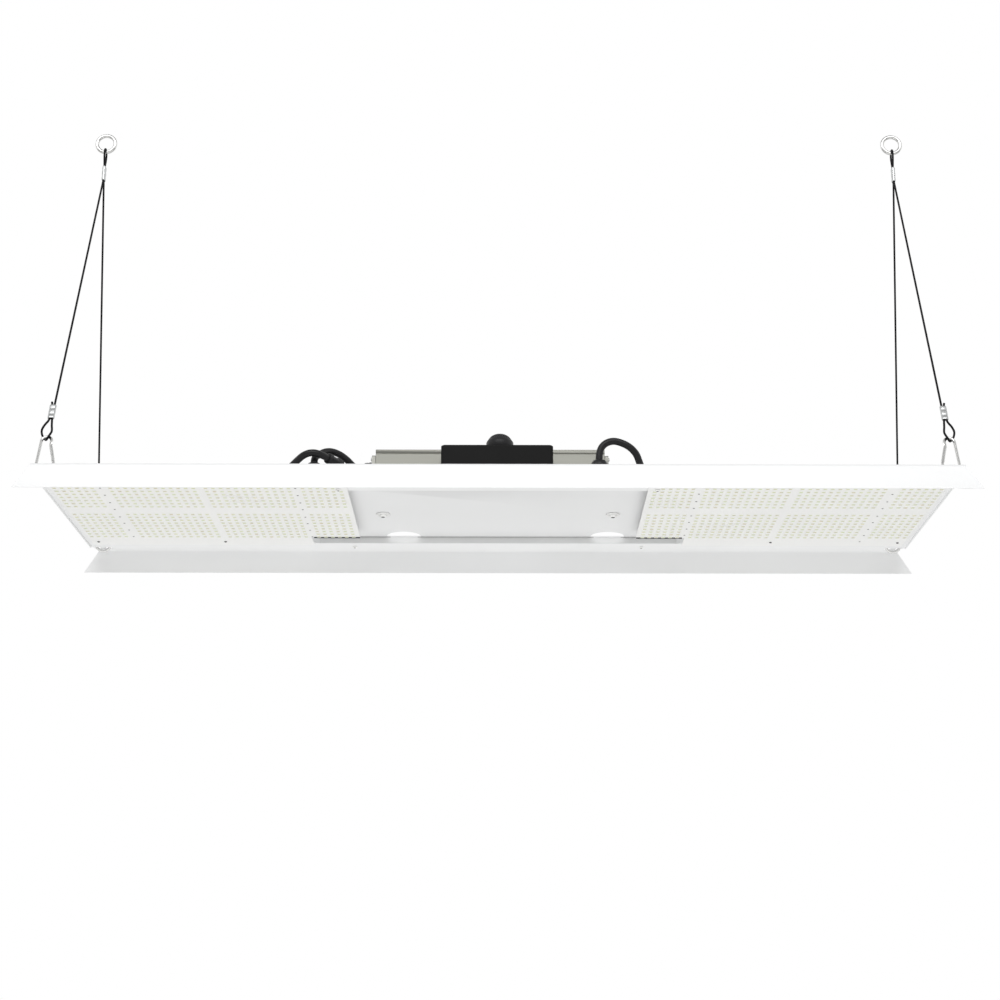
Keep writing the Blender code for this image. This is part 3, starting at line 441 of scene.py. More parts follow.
BLACK_SCREW = surface("black_zinc", (0.12, 0.12, 0.12), 0.4, metallic=0.5, blotch=120)
NICKEL = surface("nickel_plate", (0.72, 0.72, 0.71), 0.2, metallic=1.0, uneven=0.04)
PRESSED_ALLOY = surface("pressed_alloy", (0.54, 0.55, 0.55), 0.36, metallic=1.0, blotch=300)
BLACK_SHELL = surface(
    "black_shell", (0.010, 0.010, 0.010), 0.5, spread=0.15, depth=0.06 * MM, specular=0.1
)
BLACK_NYLON = surface("black_nylon", (0.012, 0.012, 0.013), 0.42, spread=0.12, specular=0.3)
JACKET = surface("lead_jacket", (0.01, 0.01, 0.011), 0.42, spread=0.15, blotch=60, specular=0.3)
ROPE = rope_coat()
BOARD_GREEN = surface("board_green", (0.03, 0.18, 0.07), 0.45, blotch=150)
POTTING = surface("potting", (0.2, 0.2, 0.21), 0.6, blotch=90, grain=300, depth=0.1 * MM)
# Black rubber for the gland lips, and also painted shadow bent round the far edges of the board
# tongues.
BLACK_RUBBER_AND_SHADOW = surface("rubber_and_painted_shadow", (0.012, 0.012, 0.012), 0.65, spread=0.2, specular=0.3)
# Painted shade: the dark inside of the screws' sockets and of the pads' drilled centres.
HOLE_SHADE = surface("painted_hole_shade", (0.02, 0.02, 0.02), 0.6)
POINTER = surface("pointer_paint", (0.75, 0.75, 0.73), 0.4)


# ---------------------------------------------------------------- leads

LEAD_RADIUS = 4.2 * MM
FEED_RADIUS = 1.5 * MM
COUPLER_SPAN = (9, 12)  # the points of the mains lead's route that it lies between

# The points that each lead runs through, in light coordinates and millimetres
LEAD_ROUTES = {
    "led_lead_left": [
        (-147, -82, 25.6),
        (-156, -82, 25.6),
        (-165.2, -82, 25.6),
        (-171, -82.4, 27.4),
        (-176.4, -84.2, 31.8),
        (-182.3, -87.5, 37.2),
        (-188.5, -91.4, 41.3),
        (-195, -95.6, 43.7),
        (-201.5, -100.6, 43.9),
        (-207.8, -106.8, 41.3),
        (-213, -114, 35.8),
        (-216.4, -120.8, 30.6),
        (-217.8, -125.8, 26),
        (-218, -127.9, 21.2),
        (-218, -128, 16),
        (-218, -128, 8),
        (-218, -128, -4),
    ],
    "led_lead_right": [
        (128.5, -72, 26.5),
        (140, -72, 26.5),
        (150, -72, 26.5),
        (158, -74.5, 25.5),
        (166, -82, 21.5),
        (171.5, -95, 17.5),
        (172.5, -110, 15.5),
        (170.5, -122, 16.5),
        (167.5, -130, 21.5),
        (163.5, -135, 29.5),
        (156.5, -138, 36.5),
        (147, -139.5, 41.5),
        (136.5, -140, 43.8),
        (127.5, -140, 41),
        (122, -140, 35),
        (119.8, -140, 27),
        (119.5, -140, 20),
        (119.5, -140, 12),
        (119.5, -140, -4),
    ],
    "ac_lead": [
        (-147, -58, 24),
        (-156, -58, 24),
        (-165.2, -58, 24),
        (-173, -60, 23.4),
        (-179.3, -65.7, 22.2),
        (-182.6, -73.8, 21),
        (-183.6, -82.8, 20.4),
        (-183.7, -91.5, 21),
        (-184.6, -99, 22.8),
        (-188.2, -106.5, 24.5),
        (-193, -113.2, 25.3),
        (-197.8, -119.9, 26.1),
        (-202.6, -126.6, 26.9),
        (-208.4, -133.1, 28),
        (-215.8, -137.2, 29.5),
        (-223.4, -137.8, 29.1),
        (-230.5, -135.8, 26.6),
        (-237.3, -130.6, 22.8),
        (-243.8, -126, 18),
        (-251, -119.3, 13.7),
        (-258.3, -110, 11),
        (-265.7, -98.5, 9.9),
        (-272.5, -86, 9.6),
        (-279, -73, 9.8),
        (-286.5, -62.5, 10.3),
        (-292, -58.6, 10.6),
        (-297.2, -58, 10.7),
    ],
}

FEED_ROUTES = {
    "board_feed_left": [
        (-218, -128, -5.4),
        (-218.2, -129, -8),
        (-220, -132.6, -10.3),
        (-224.5, -136.8, -11.2),
        (-231, -137, -10),
        (-238, -132.5, -7.6),
        (-244.5, -127, -5.4),
        (-251.2, -125.2, -4.9),
    ],
    "board_feed_right": [
        (119.5, -140, -5.4),
        (120, -140, -9.5),
        (126, -139, -12.5),
        (138, -137, -8.5),
        (152, -134, -3),
        (175, -130, -2),
        (205, -127, -2),
        (225, -125.5, -2.2),
        (240, -125, -4),
        (251.7, -125, -4.8),
    ],
}


def run_length(points):
    return sum((b - a).length for a, b in zip(points, points[1:]))


def lay_cord(node, points, radius, finish, far_end, stiffness, lay, resolution=4, **more):
    made = tube("laid_" + node, points, radius, finish, resolution=resolution)
    stand_for(made, node)
    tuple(points[0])
    run_length(points)


def build_leads(connector, coupler):
    for node, route in LEAD_ROUTES.items():
        points = smooth_line([at(*(Vector(p) * MM)) for p in route], 2.5 * MM)
        if node == "ac_lead":
            facts = {"far_end": "connector", "with_pieces": [connector, coupler]}
        else:
            facts = {"far_end": "object"}
        lay_cord(
            node,
            points,
            LEAD_RADIUS,
            JACKET,
            stiffness="limp",
            lay="loose",
            resolution=6,
            **facts,
        )
    for node, route in FEED_ROUTES.items():
        points = smooth_line([at(*(Vector(p) * MM)) for p in route], 2 * MM)
        lay_cord(node, points, FEED_RADIUS, JACKET, "object", "limp", "loose")


# ---------------------------------------------------------------- slings

PLATE_DROP = 490 * MM
BALANCE_Y = 20.95 * MM
SLING_X = 520 * MM
HOOK_X = {FRONT: 526.6 * MM, BACK: 530 * MM}
HOOK_Y = 170 * MM
HOOK_WIRE = 1.8 * MM
BOW_RADIUS = 9.8 * MM
BOW_CENTRE = 5.8 * MM
EYE_RADIUS = 6 * MM
EYE_OFFSET = -2.9 * MM
EYE_RISE = 33 * MM
PIN_DROP = 6.4 * MM
ROPE_RADIUS = 1.3 * MM
ROPE_PITCH = 1.5 * MM
LOOP_TURN = (math.radians(30), math.radians(90))
LOOP_TWIST = 16 * MM
LOOP_SET = 2.2 * MM
FERRULE_LENGTH = 20 * MM
APEX_EYE = 22 * MM
RING_WIRE = 2.5 * MM
RING_RADIUS = 12 * MM
LOOP_HEIGHT = 31 * MM
LOOP_ROUTE = ((3.4, 1.0), (6.1, 3.9), (7.0, 8.0), (6.3, 13.5), (4.4, 20.5), (2.3, 27.0))


def hook_matrix(sx, sy):
    """The place of a snap hook: on the strip between its slots, leaning along its leg."""
    rise = PLATE_DROP - APEX_EYE - FERRULE_LENGTH
    lean = math.atan2(sy * HOOK_Y + BALANCE_Y, rise)
    place = at(sx * HOOK_X[sy], sy * HOOK_Y, 0)
    return Matrix.Translation(place) @ Matrix.Rotation(lean, 4, "X")


def loop_low():
    """Height of the rope's centreline where it passes under the hook's eye."""
    return BOW_CENTRE + EYE_RISE + EYE_RADIUS - HOOK_WIRE - ROPE_RADIUS - GAP


def corner_route(tail_first):
    """The sling at one hook as (across, up): tail, ferrule, loop, ferrule again."""
    start = loop_low() + LOOP_HEIGHT
    end = start + FERRULE_LENGTH
    half = [(a * MM, loop_low() + b * MM) for a, b in reversed(LOOP_ROUTE)]
    there = [(2.3 * MM, end + 5 * MM), (ROPE_PITCH, end + 1 * MM)]
    there += [(ROPE_PITCH, start + 2 * MM), (ROPE_PITCH, start)]
    there += half + [(0, loop_low())]
    back = [(-a, b) for a, b in reversed(half)]
    back += [(-ROPE_PITCH, start), (-ROPE_PITCH, start + 2 * MM)]
    back += [(-ROPE_PITCH, end + 1 * MM)]
    route = there + back
    return route if tail_first else route[::-1]


def apex_route():
    """The rope through the top ferrule and its eye over the ring, as (y, z)."""
    top = RING_WIRE + ROPE_RADIUS + GAP
    low, high = -APEX_EYE - FERRULE_LENGTH, -APEX_EYE
    rise = [(ROPE_PITCH, low), (ROPE_PITCH, high - 2 * MM), (ROPE_PITCH, high)]
    rise += [(2.4 * MM, high + 4 * MM), (4.7 * MM, high + 11 * MM)]
    rise += [(5.9 * MM, -4.5 * MM), (5.3 * MM, 0.4 * MM), (3 * MM, 3.1 * MM)]
    return [(-y, z) for y, z in rise] + [(0, top)] + rise[::-1]


def loop_point(sx, sy, across, up):
    """A point of the corner loop, which twists as it rises and leans outward."""
    inward = -sx
    twist = min(1, max(0, (up - loop_low()) / LOOP_TWIST))
    turn = LOOP_TURN[0] + (LOOP_TURN[1] - LOOP_TURN[0]) * twist
    part = min(1, max(0, (up - loop_low()) / LOOP_HEIGHT))
    leaning = LOOP_SET * math.sin(math.pi * part) ** 2
    x = inward * (EYE_OFFSET - leaning + across * math.sin(turn) * sy)
    return hook_matrix(sx, sy) @ Vector((x, across * math.cos(turn), up))


def build_slings():
    for side, sx in (("left", LEFT), ("right", RIGHT)):
        front = [loop_point(sx, FRONT, a, b) for a, b in corner_route(True)]
        over = [Vector((sx * SLING_X, y, z)) for y, z in apex_route()]
        back = [loop_point(sx, BACK, a, b) for a, b in corner_route(False)]
        line = smooth_line(front, 1.5 * MM) + smooth_line(over, 1.5 * MM)
        line += smooth_line(back, 1.5 * MM)
        lay_cord(f"sling_{side}", line, ROPE_RADIUS, ROPE, "object", "medium", "taut")


# ---------------------------------------------------------------- snap hooks, rings

FERRULE_HALF = (4.1 * MM, 2.4 * MM)  # half its width, and half its depth
FERRULE_STEPS = 20
FERRULE_END = 0.06  # the share of its length, at each end, that is rounded in
FERRULE_ROUND = 0.5 * MM
CRIMPS = (0.3, 0.7)  # their middles, as shares of its length
CRIMP_REACH = 0.11
CRIMP_DEPTH = 0.35 * MM


def gate_pin():
    return (EYE_OFFSET + EYE_RADIUS, BOW_CENTRE + EYE_RISE - PIN_DROP)


def hook_path():
    """The snap hook's wire in (x, z), from its nose, which points at the gate's pin,
    round the bow, up the back and over the eye to its flattened end."""
    bow, eye = (0, BOW_CENTRE), (EYE_OFFSET, BOW_CENTRE + EYE_RISE)
    x, z = gate_pin()
    away = (x, z - BOW_CENTRE)
    nose = math.atan2(away[1], away[0]) - math.acos(BOW_RADIUS / math.hypot(*away))
    apart = math.hypot(eye[0] - bow[0], eye[1] - bow[1])
    aim = math.atan2(eye[1] - bow[1], eye[0] - bow[0])
    touch = aim + math.acos((BOW_RADIUS - EYE_RADIUS) / apart)
    points = circle(BOW_RADIUS, 40, bow, nose, touch - 2 * math.pi)
    points += circle(EYE_RADIUS, 28, eye, touch, 0)
    points += [(x, z + up) for up in (4.4 * MM, 3.4 * MM, -1.8 * MM)]
    return points


def wire_mesh(name, points, radius, sides=18, flattened=2, thin=0.85 * MM):
    """A round wire along (x, z) points whose last few loops are flattened across Y."""
    shape = bmesh.new()
    loops = []
    for k, (x, z) in enumerate(points):
        before, after = points[max(k - 1, 0)], points[min(k + 1, len(points) - 1)]
        run = Vector((after[0] - before[0], 0, after[1] - before[1])).normalized()
        out = run.cross(Vector((0, 1, 0)))
        wide = thin if k >= len(points) - flattened else radius
        loop = []
        for i in range(sides):
            angle = 2 * math.pi * (i + 0.5) / sides
            side = max(-wide, min(wide, radius * math.sin(angle)))
            place = Vector((x, side, z)) + radius * math.cos(angle) * out
            loop.append(shape.verts.new(place))
        loops.append(loop)
    bridge(shape, loops)
    shape.faces.new(loops[0])
    shape.faces.new(loops[-1][::-1])
    return to_mesh(name, shape)


def build_hooks():
    for side, sx in (("left", LEFT), ("right", RIGHT)):
        path = [(-sx * x, z) for x, z in hook_path()]
        mesh = wire_mesh(f"hook_wire_{side}", path, HOOK_WIRE)
        mesh.materials.append(NICKEL)
        for end, sy in (("front", FRONT), ("back", BACK)):
            name = f"{end}_{side}"
            made = link(f"hook_body_{name}", mesh)
            made.matrix_world = hook_matrix(sx, sy)
            stand_for(made, f"snap_hook_{name}")
            dressed(f"hook_gate_{name}", NICKEL, 0.15 * MM)
            dressed(f"gate_pin_{name}", ZINC, 0.1 * MM)
            sleeve = link(f"pressed_ferrule_{name}", ferrule_mesh())
            lift = Vector((-sx * EYE_OFFSET, 0, loop_low() + LOOP_HEIGHT))
            sleeve.matrix_world = hook_matrix(sx, sy) @ Matrix.Translation(lift)
            stand_for(sleeve, f"sling_ferrule_{name}")
        top = link(
            f"pressed_top_ferrule_{side}",
            ferrule_mesh(),
            (sx * SLING_X, 0, -APEX_EYE - FERRULE_LENGTH),
            (0, 0, math.pi / 2),
        )
        stand_for(top, f"top_ferrule_{side}")
        ring = [
            (sx * SLING_X + x, 0, z)
            for x, z in circle(RING_RADIUS, 64, (0, RING_RADIUS))
        ]
        made = tube(f"forged_ring_{side}", ring, RING_WIRE, NICKEL, True, 6)
        stand_for(made, f"hanging_ring_{side}")


def ferrule_mesh():
    """A pressed sleeve round two wires: two crimp bands, and ends rounded in."""
    found = bpy.data.meshes.get("ferrule")
    if found:
        return found
    levels = []
    for k in range(FERRULE_STEPS + 1):
        up = k / FERRULE_STEPS
        edge = max(0, abs(up - 0.5) - 0.5 + FERRULE_END) / FERRULE_END
        inset = FERRULE_ROUND * edge**2
        for middle in CRIMPS:
            inset += CRIMP_DEPTH * max(0, 1 - (abs(up - middle) / CRIMP_REACH) ** 2)
        half, radius = FERRULE_HALF
        levels.append((half - inset * 0.4, radius - inset, up * FERRULE_LENGTH))
    bore = (ROPE_PITCH + ROPE_RADIUS + 0.25 * MM, ROPE_RADIUS + 0.2 * MM)
    levels.append((*bore, FERRULE_LENGTH - 0.2 * MM))
    levels.append((*bore, 0.2 * MM))
    shape = bmesh.new()
    loops = []
    for half, radius, z in levels:
        flat = half - radius
        outline = circle(radius, 10, (flat, 0), -math.pi / 2, math.pi / 2)
        outline += circle(radius, 10, (-flat, 0), math.pi / 2, 1.5 * math.pi)
        loops.append([shape.verts.new((x, y, z)) for x, y in outline])
    bridge(shape, loops, ring=True)
    mesh = to_mesh("ferrule", shape)
    mesh.materials.append(PRESSED_ALLOY)
    return mesh


# ---------------------------------------------------------------- screws


def pan_head(name, radius, height, finish):
    """A pan-head screw's head with a cross recess, z = 0 under the head."""
    profile = [(0, height), (radius * 0.45, height * 0.97), (radius * 0.72, height * 0.82)]
    profile += [(radius * 0.92, height * 0.5), (radius, height * 0.12), (radius, 0), (0, 0)]
    head = link(name + "_head", to_mesh(name, lathe(profile, 32)))
    arm, half = radius * 0.52, radius * 0.12
    cross = [(arm, half), (half, half), (half, arm)]
    outline = []
    for quarter in range(4):
        c, s = math.cos(quarter * math.pi / 2), math.sin(quarter * math.pi / 2)
        outline += [(x * c - y * s, x * s + y * c) for x, y in cross]
    cutter = to_mesh(name + "_tool", prism(outline, height * 0.45, height * 1.5))
    tool = link(name + "_tool", cutter)
    step = head.modifiers.new("recess", "BOOLEAN")
    step.object = tool
    graph = bpy.context.evaluated_depsgraph_get()
    mesh = bpy.data.meshes.new_from_object(head.evaluated_get(graph))
    mesh.name = name
    for old in (head, tool):
        bpy.data.objects.remove(old)
    mesh.materials.clear()
    mesh.materials.append(finish)
    mesh.shade_smooth()
    mesh.set_sharp_from_angle(angle=math.radians(40))
    return mesh


def put(name, mesh, place, turn=None, body="light"):
    made = link(name, mesh, place, turn)
    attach(made, body)
    return made


DOWN = (math.pi, 0, 0)


# ---------------------------------------------------------------- hood

RECESS_WALL = 145 * MM
RECESS_HALF = 237 * MM
CABLE_HOLES = ((-125 * MM, 18 * MM), (145 * MM, 18 * MM))  # middle and half width
CORNER_SHADOW_RADIUS = 0.55 * MM
PLATFORM_SOCKET = 1.5 * MM
DRIVER_SOCKET = 2.6 * MM
SOCKET_DEPTH = 1 * MM
SOCKET_LIFT = 0.02 * MM

# The outline of the grey strip of painted shade on the recess's far wall, as (in from the
# recess's far wall, up), in millimetres
WALL_SHADE_OUTLINE = (
    (0.05, 0.1),
    (0.45, 0.1),
    (0.6, 0.3),
    (0.6, 1.5),
    (1.2, 7.6),
    (1.0, 7.8),
    (0.75, 7.8),
    (0.05, 1.5),
)


def strip(profile, x0, x1, shape=None):
    """A (y, z) profile in light coordinates drawn out along X."""
    shape = shape or bmesh.new()
    loops = [[shape.verts.new(at(x, y, z)) for y, z in profile] for x in (x0, x1)]
    return capped(shape, loops)


def build_recess_shade():
    """A grey strip along the recess's far wall, painted shade where the wall lies in shadow,
    and above it in the wall's top corner a thin grey line of painted shadow that stops at the
    two cable holes."""
    profile = [(RECESS_WALL - inward * MM, up * MM) for inward, up in WALL_SHADE_OUTLINE]
    mesh = to_mesh("painted_wall_shade", strip(profile, -RECESS_HALF, RECESS_HALF), 60)
    mesh.materials.append(WALL_SHADE)
    put("painted_wall_shade", mesh, (0, 0, 0))
    line_outline = circle(CORNER_SHADOW_RADIUS, 12, (RECESS_WALL - 1.15 * MM, 8.4 * MM))
    ends = [-RECESS_HALF]
    for middle, half in CABLE_HOLES:
        ends += [middle - half, middle + half]
    ends.append(RECESS_HALF)
    shape = bmesh.new()
    for x0, x1 in zip(ends[::2], ends[1::2]):
        strip(line_outline, x0, x1, shape)
    mesh = to_mesh("corner_shadow_line", shape, 60)
    mesh.materials.append(CORNER_SHADOW)
    put("corner_shadow_line", mesh, (0, 0, 0))


def add_socket_shade(name, node, radius):
    """A dark hexagon in the middle of a screw's head, painted shade for its socket as seen from
    below.
    """
    low, high = corners(node)
    middle = (low + high) / 2
    outline = circle(radius, 6, (middle.x, middle.y))
    mesh = to_mesh(name, prism(outline, low.z - SOCKET_LIFT, low.z + SOCKET_DEPTH))
    mesh.materials.append(HOLE_SHADE)
    put(name, mesh, (0, 0, 0))


def build_hood():
    dressed("hood_tray", WHITE, 0.35 * MM)
    # the recessed platform takes the darker, painted-shade copy of the powder coat
    dressed("driver_platform", SHADED_WHITE, 0.35 * MM)
    for name in ("front_left", "front_right", "back_left", "back_right"):
        dressed(f"platform_screw_{name}", BRIGHT_ZINC, 0.2 * MM)
        add_socket_shade(f"platform_socket_shade_{name}", f"platform_screw_{name}", PLATFORM_SOCKET)
    for side in ("left", "right"):
        dressed(f"driver_screw_{side}", BRIGHT_ZINC, 0.2 * MM)
        add_socket_shade(f"driver_socket_{side}", f"driver_screw_{side}", DRIVER_SOCKET)
        dressed(f"driver_strap_{side}", ZINC, 0.25 * MM)
    # painted shade and shadow on the recess's far wall
    build_recess_shade()


# ---------------------------------------------------------------- LED boards

BOARD_FACE = -1.9 * MM
BOARD_HEAD = (1.8 * MM, 1.2 * MM)  # radius and height of a board screw's head
CHIP = (5.0 * MM, 4.6 * MM, 0.75 * MM)

# A chip's case from the board outward, as (share of its size, share of its height): its
# wall, its rounded edge, its rim and the floor of the well that the phosphor fills
CHIP_LEVELS = ((1.0, 0.0), (1.0, 0.55), (0.93, 1.0), (0.80, 1.0), (0.72, 0.72))

# The layout of the right board in millimetres. The left one mirrors it, all but the pads.
CHIP_PITCH = (9.05, 12.35)
ROW_STARTS = (-123.3, 8.5)
ROW_COUNT = 9
BLOCKS = ((189, 6), (251, 12), (365.2, 12), (486.5, 6))  # first chip's x, chips in a row
WARM_EVERY = 3  # one chip in three is warmer, and shifts along on every other row
NOTCH = (244, -106, 110)  # the notches lie at smaller x, past these two values of y
PLATFORM_SCREW = (191.5, -95)
SCREW_CLEAR = 6.5
BOARD_SCREWS = ((528, 132), (360, 131), (528, -132), (360, -131))
TONGUE = (181, 241)
TONGUE_EDGE = 112

# The left board's test pads, in millimetres. The right board has them turned half round.
PAD_COLUMNS = (243, 477)
PAD_ROWS = (-127, -98, -70, -40, -12, 20, 48, 78, 108)

# A pad and the dark disc of painted shade for the drilled centre on it, as (radius, low, high,
# material's index)
PAD_DISCS = ((1.5, 0.02, 0.12, 0), (0.8, 0.1, 0.22, 1))


def on_board(x, y):
    """Whether (x, y) millimetres is clear of the board's notches and platform screw."""
    from_screw = math.dist((x, y), PLATFORM_SCREW)
    return from_screw > SCREW_CLEAR and (x > NOTCH[0] or NOTCH[1] < y < NOTCH[2])


def chip_places():
    """Where the chips sit on the right board, in millimetres, and which are warm."""
    for start in ROW_STARTS:
        for row in range(ROW_COUNT):
            y = start + row * CHIP_PITCH[1]
            column = row % 2
            for left, count in BLOCKS:
                for k in range(count):
                    x = left + k * CHIP_PITCH[0]
                    column += 1
                    if on_board(x, y):
                        yield x * MM, y * MM, column % WARM_EVERY == 0


def build_chips(side, sx):
    """All the chips of one board: white cases with a recessed square of phosphor."""
    shape = bmesh.new()
    long, wide, tall = CHIP
    for x, y, warm in chip_places():
        loops = []
        for size, up in CHIP_LEVELS:
            hx, hy = long / 2 * size, wide / 2 * size
            z = BOARD_FACE - up * tall
            outline = ((-hx, -hy), (hx, -hy), (hx, hy), (-hx, hy))
            loops.append([shape.verts.new(at(sx * x + a, y + b, z)) for a, b in outline])
        bridge(shape, loops)
        floor = shape.faces.new(loops[-1])
        floor.material_index = 2 if warm else 1
    made = link(f"led_chips_{side}", to_mesh(f"led_chips_{side}", shape, 30))
    for finish in (CHIP_CASE, COOL_PHOSPHOR, WARM_PHOSPHOR):
        made.data.materials.append(finish)
    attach(made, "light")


def build_pads(side, sx):
    """Tinned test pads in two columns, and dark discs of painted shade for their small drilled
    centres.
    """
    shape = bmesh.new()
    for column in PAD_COLUMNS:
        for row in PAD_ROWS:
            y = row if sx == LEFT else -row
            if not on_board(column, y):
                continue
            centre = at(sx * column * MM, y * MM, 0)
            for radius, low, high, index in PAD_DISCS:
                outline = circle(radius * MM, 14, (centre.x, centre.y))
                z = centre.z + BOARD_FACE
                before = set(shape.faces)
                prism(outline, z - high * MM, z - low * MM, shape)
                for face in set(shape.faces) - before:
                    face.material_index = index
    made = link(f"board_pads_{side}", to_mesh(f"board_pads_{side}", shape))
    made.data.materials.append(TIN)
    made.data.materials.append(HOLE_SHADE)
    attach(made, "light")


def build_tongue_edge_shadow(side, sx):
    """A black strip bent round the far edge of the board's tongue: painted shadow for the dark
    gap behind that edge.
    """
    inner, outer = (sx * x * MM for x in TONGUE)
    edge, under = TONGUE_EDGE * MM, BOARD_FACE
    profile = [(edge - 3 * MM, under), (edge - 3 * MM, under - 0.5 * MM)]
    profile += [(edge - 2.7 * MM, under - 0.7 * MM), (edge + 0.3 * MM, under - 0.7 * MM)]
    profile += [(edge + 0.6 * MM, under - 0.4 * MM), (edge + 0.6 * MM, -0.1 * MM)]
    profile += [(edge + 0.05 * MM, -0.1 * MM), (edge + 0.05 * MM, under)]
    mesh = to_mesh(f"tongue_edge_shadow_{side}", strip(profile, inner, outer))
    mesh.materials.append(BLACK_RUBBER_AND_SHADOW)
    put(f"tongue_edge_shadow_{side}", mesh, (0, 0, 0))


def build_boards():
    head = pan_head("board_screw_head", *BOARD_HEAD, BLACK_SCREW)
    for side, sx in (("left", LEFT), ("right", RIGHT)):
        dressed(f"led_board_{side}", MASK, 0.15 * MM)
        dressed(f"board_terminal_{side}", MOULDED_WHITE, 0.4 * MM)
        build_chips(side, sx)
        build_pads(side, sx)
        # painted shadow along the far edge of the board's tongue
        build_tongue_edge_shadow(side, sx)
        for k, (x, y) in enumerate(BOARD_SCREWS):
            place = at(sx * x * MM, y * MM, BOARD_FACE)
            put(f"board_screw_{side}_{k}", head, place, DOWN)


# ---------------------------------------------------------------- driver

END_HEAD = (2.6 * MM, 1.6 * MM)
END_SCREW_IN = (4.5 * MM, 4 * MM)  # how far each is from the end plate's edges, in Y and Z


def build_driver():
    dressed("driver_case", DRIVER_ALLOY, 0.3 * MM)
    dressed("driver_circuit", POTTING, 0.5 * MM)
    head = pan_head("end_screw_head", *END_HEAD, ZINC)
    in_y, in_z = END_SCREW_IN
    for side, sx in (("left", LEFT), ("right", RIGHT)):
        dressed(f"driver_end_{side}", END_ALLOY, 0.3 * MM)
        low, high = corners(f"driver_end_{side}")
        face = low.x if sx == LEFT else high.x
        turn = (0, sx * math.pi / 2, 0)
        for row, z in (("low", low.z + in_z), ("high", high.z - in_z)):
            for end, y in (("front", low.y + in_y), ("back", high.y - in_y)):
                put(f"end_screw_{side}_{row}_{end}", head, (face, y, z), turn)


# ---------------------------------------------------------------- dimmer

COVER_HEAD = (2.1 * MM, 0.9 * MM)
COVER_SCREW_IN = 6.5 * MM
KNOB_RIBS = 28
RIB_DEPTH = 0.8 * MM
RIBS_START = (3.2 * MM, 1.6 * MM)  # depth below the knob's top, and how long they fade
RIBS_END = (8.2 * MM, 1.4 * MM)
POINTER_LINE = ((-0.5, 0.8), (0.5, 0.8), (0.5, 4.1), (-0.5, 4.1))  # in millimetres

# The knob's dished top and its side as (radius, depth below its top), in millimetres
BELL = (
    (0, 1.3),
    (4.2, 1.25),
    (4.8, 0.7),
    (5.6, 0.95),
    (6.9, 1.35),
    (8.2, 1.9),
    (9.4, 2.6),
    (10.9, 3.7),
    (12.1, 4.9),
    (12.9, 5.9),
    (13.6, 7.0),
    (14.4, 8.1),
    (15.1, 9.2),
    (15.9, 10.6),
)


def build_dimmer():
    dressed("dimmer_base", BLACK_SHELL, 0.4 * MM)
    dressed("dimmer_cover", BLACK_SHELL, 0.5 * MM, 3)
    dressed("dimmer_potentiometer", ZINC, 0.15 * MM)
    dressed("dimmer_board", BOARD_GREEN, 0.15 * MM)
    low, high = corners("dimmer_cover")
    head = pan_head("cover_screw_head", *COVER_HEAD, ZINC)
    places = [
        (x, y, high.z - 0.1 * MM)
        for x in (low.x + COVER_SCREW_IN, high.x - COVER_SCREW_IN)
        for y in (low.y + COVER_SCREW_IN, high.y - COVER_SCREW_IN)
    ]
    for k, place in enumerate(places):
        put(f"cover_screw_{k}", head, place)
    build_knob()


def build_knob():
    """A bell-shaped knob: a fluted dome on a wide skirt, dished, with a pointer."""
    low, high = corners("dimmer_knob")
    middle = (low + high) / 2
    tall = high.z - low.z
    skirt = (high.x - low.x) / 2

    def fluted(radius, z, angle):
        down = tall - z
        inside = min(1, max(0, (down - RIBS_START[0]) / RIBS_START[1]))
        inside *= min(1, max(0, (RIBS_END[0] - down) / RIBS_END[1]))
        wave = 0.5 - 0.5 * math.cos(KNOB_RIBS * angle)
        return radius - RIB_DEPTH * inside * wave

    profile = [(radius * MM, tall - down * MM) for radius, down in BELL]
    profile += [(skirt, tall - 11.4 * MM), (skirt, 0.5 * MM), (skirt - 0.4 * MM, 0)]
    profile += [(7.5 * MM, 0), (7.5 * MM, 3.5 * MM), (0, 3.5 * MM)]
    shape = lathe(profile, KNOB_RIBS * 6, radius_at=fluted)
    knob = link("fluted_knob", to_mesh("fluted_knob", shape, 50), (middle.x, middle.y, low.z))
    knob.data.materials.append(BLACK_NYLON)
    stand_for(knob, "dimmer_knob")
    line = [(x * MM, y * MM) for x, y in POINTER_LINE]
    mark = to_mesh("knob_pointer", prism(line, tall - 1.28 * MM, tall - 1.1 * MM))
    mark.materials.append(POINTER)
    put("knob_pointer", mark, (middle.x, middle.y, low.z), body="knob")


# ---------------------------------------------------------------- glands, connector

HEX_FLAT = 0.88  # half the width across a hexagon's flats, over its corner radius
GLAND_RIBS = 18
TRAY_REACH = 19.1 * MM
DRIVER_REACH = 13 * MM
END_PLATE = 4.2 * MM
DRIVER_ENDS = (-151.4 * MM, 132.7 * MM)
CLIP_HEAD = (2.4 * MM, 1.7 * MM)
MOUTH_DEPTH = 14 * MM
PIN_CIRCLE = 3.4 * MM
PIN_COUNT = 3
COLLAR_RIBS = 24

# The glands' places in light coordinates, and which way they point along X: 0 is up
TRAY_GLANDS = {
    "tray_gland_left": ((-218 * MM, -128 * MM, SHEET), 0),
    "tray_gland_right": ((119.5 * MM, -140 * MM, SHEET), 0),
}
DRIVER_GLANDS = {
    "driver_gland_left": ((DRIVER_ENDS[0], -82 * MM, 25.6 * MM), LEFT),
    "driver_gland_ac": ((DRIVER_ENDS[0], -58 * MM, 24 * MM), LEFT),
    "driver_gland_right": ((DRIVER_ENDS[1], -72 * MM, 26.5 * MM), RIGHT),
}


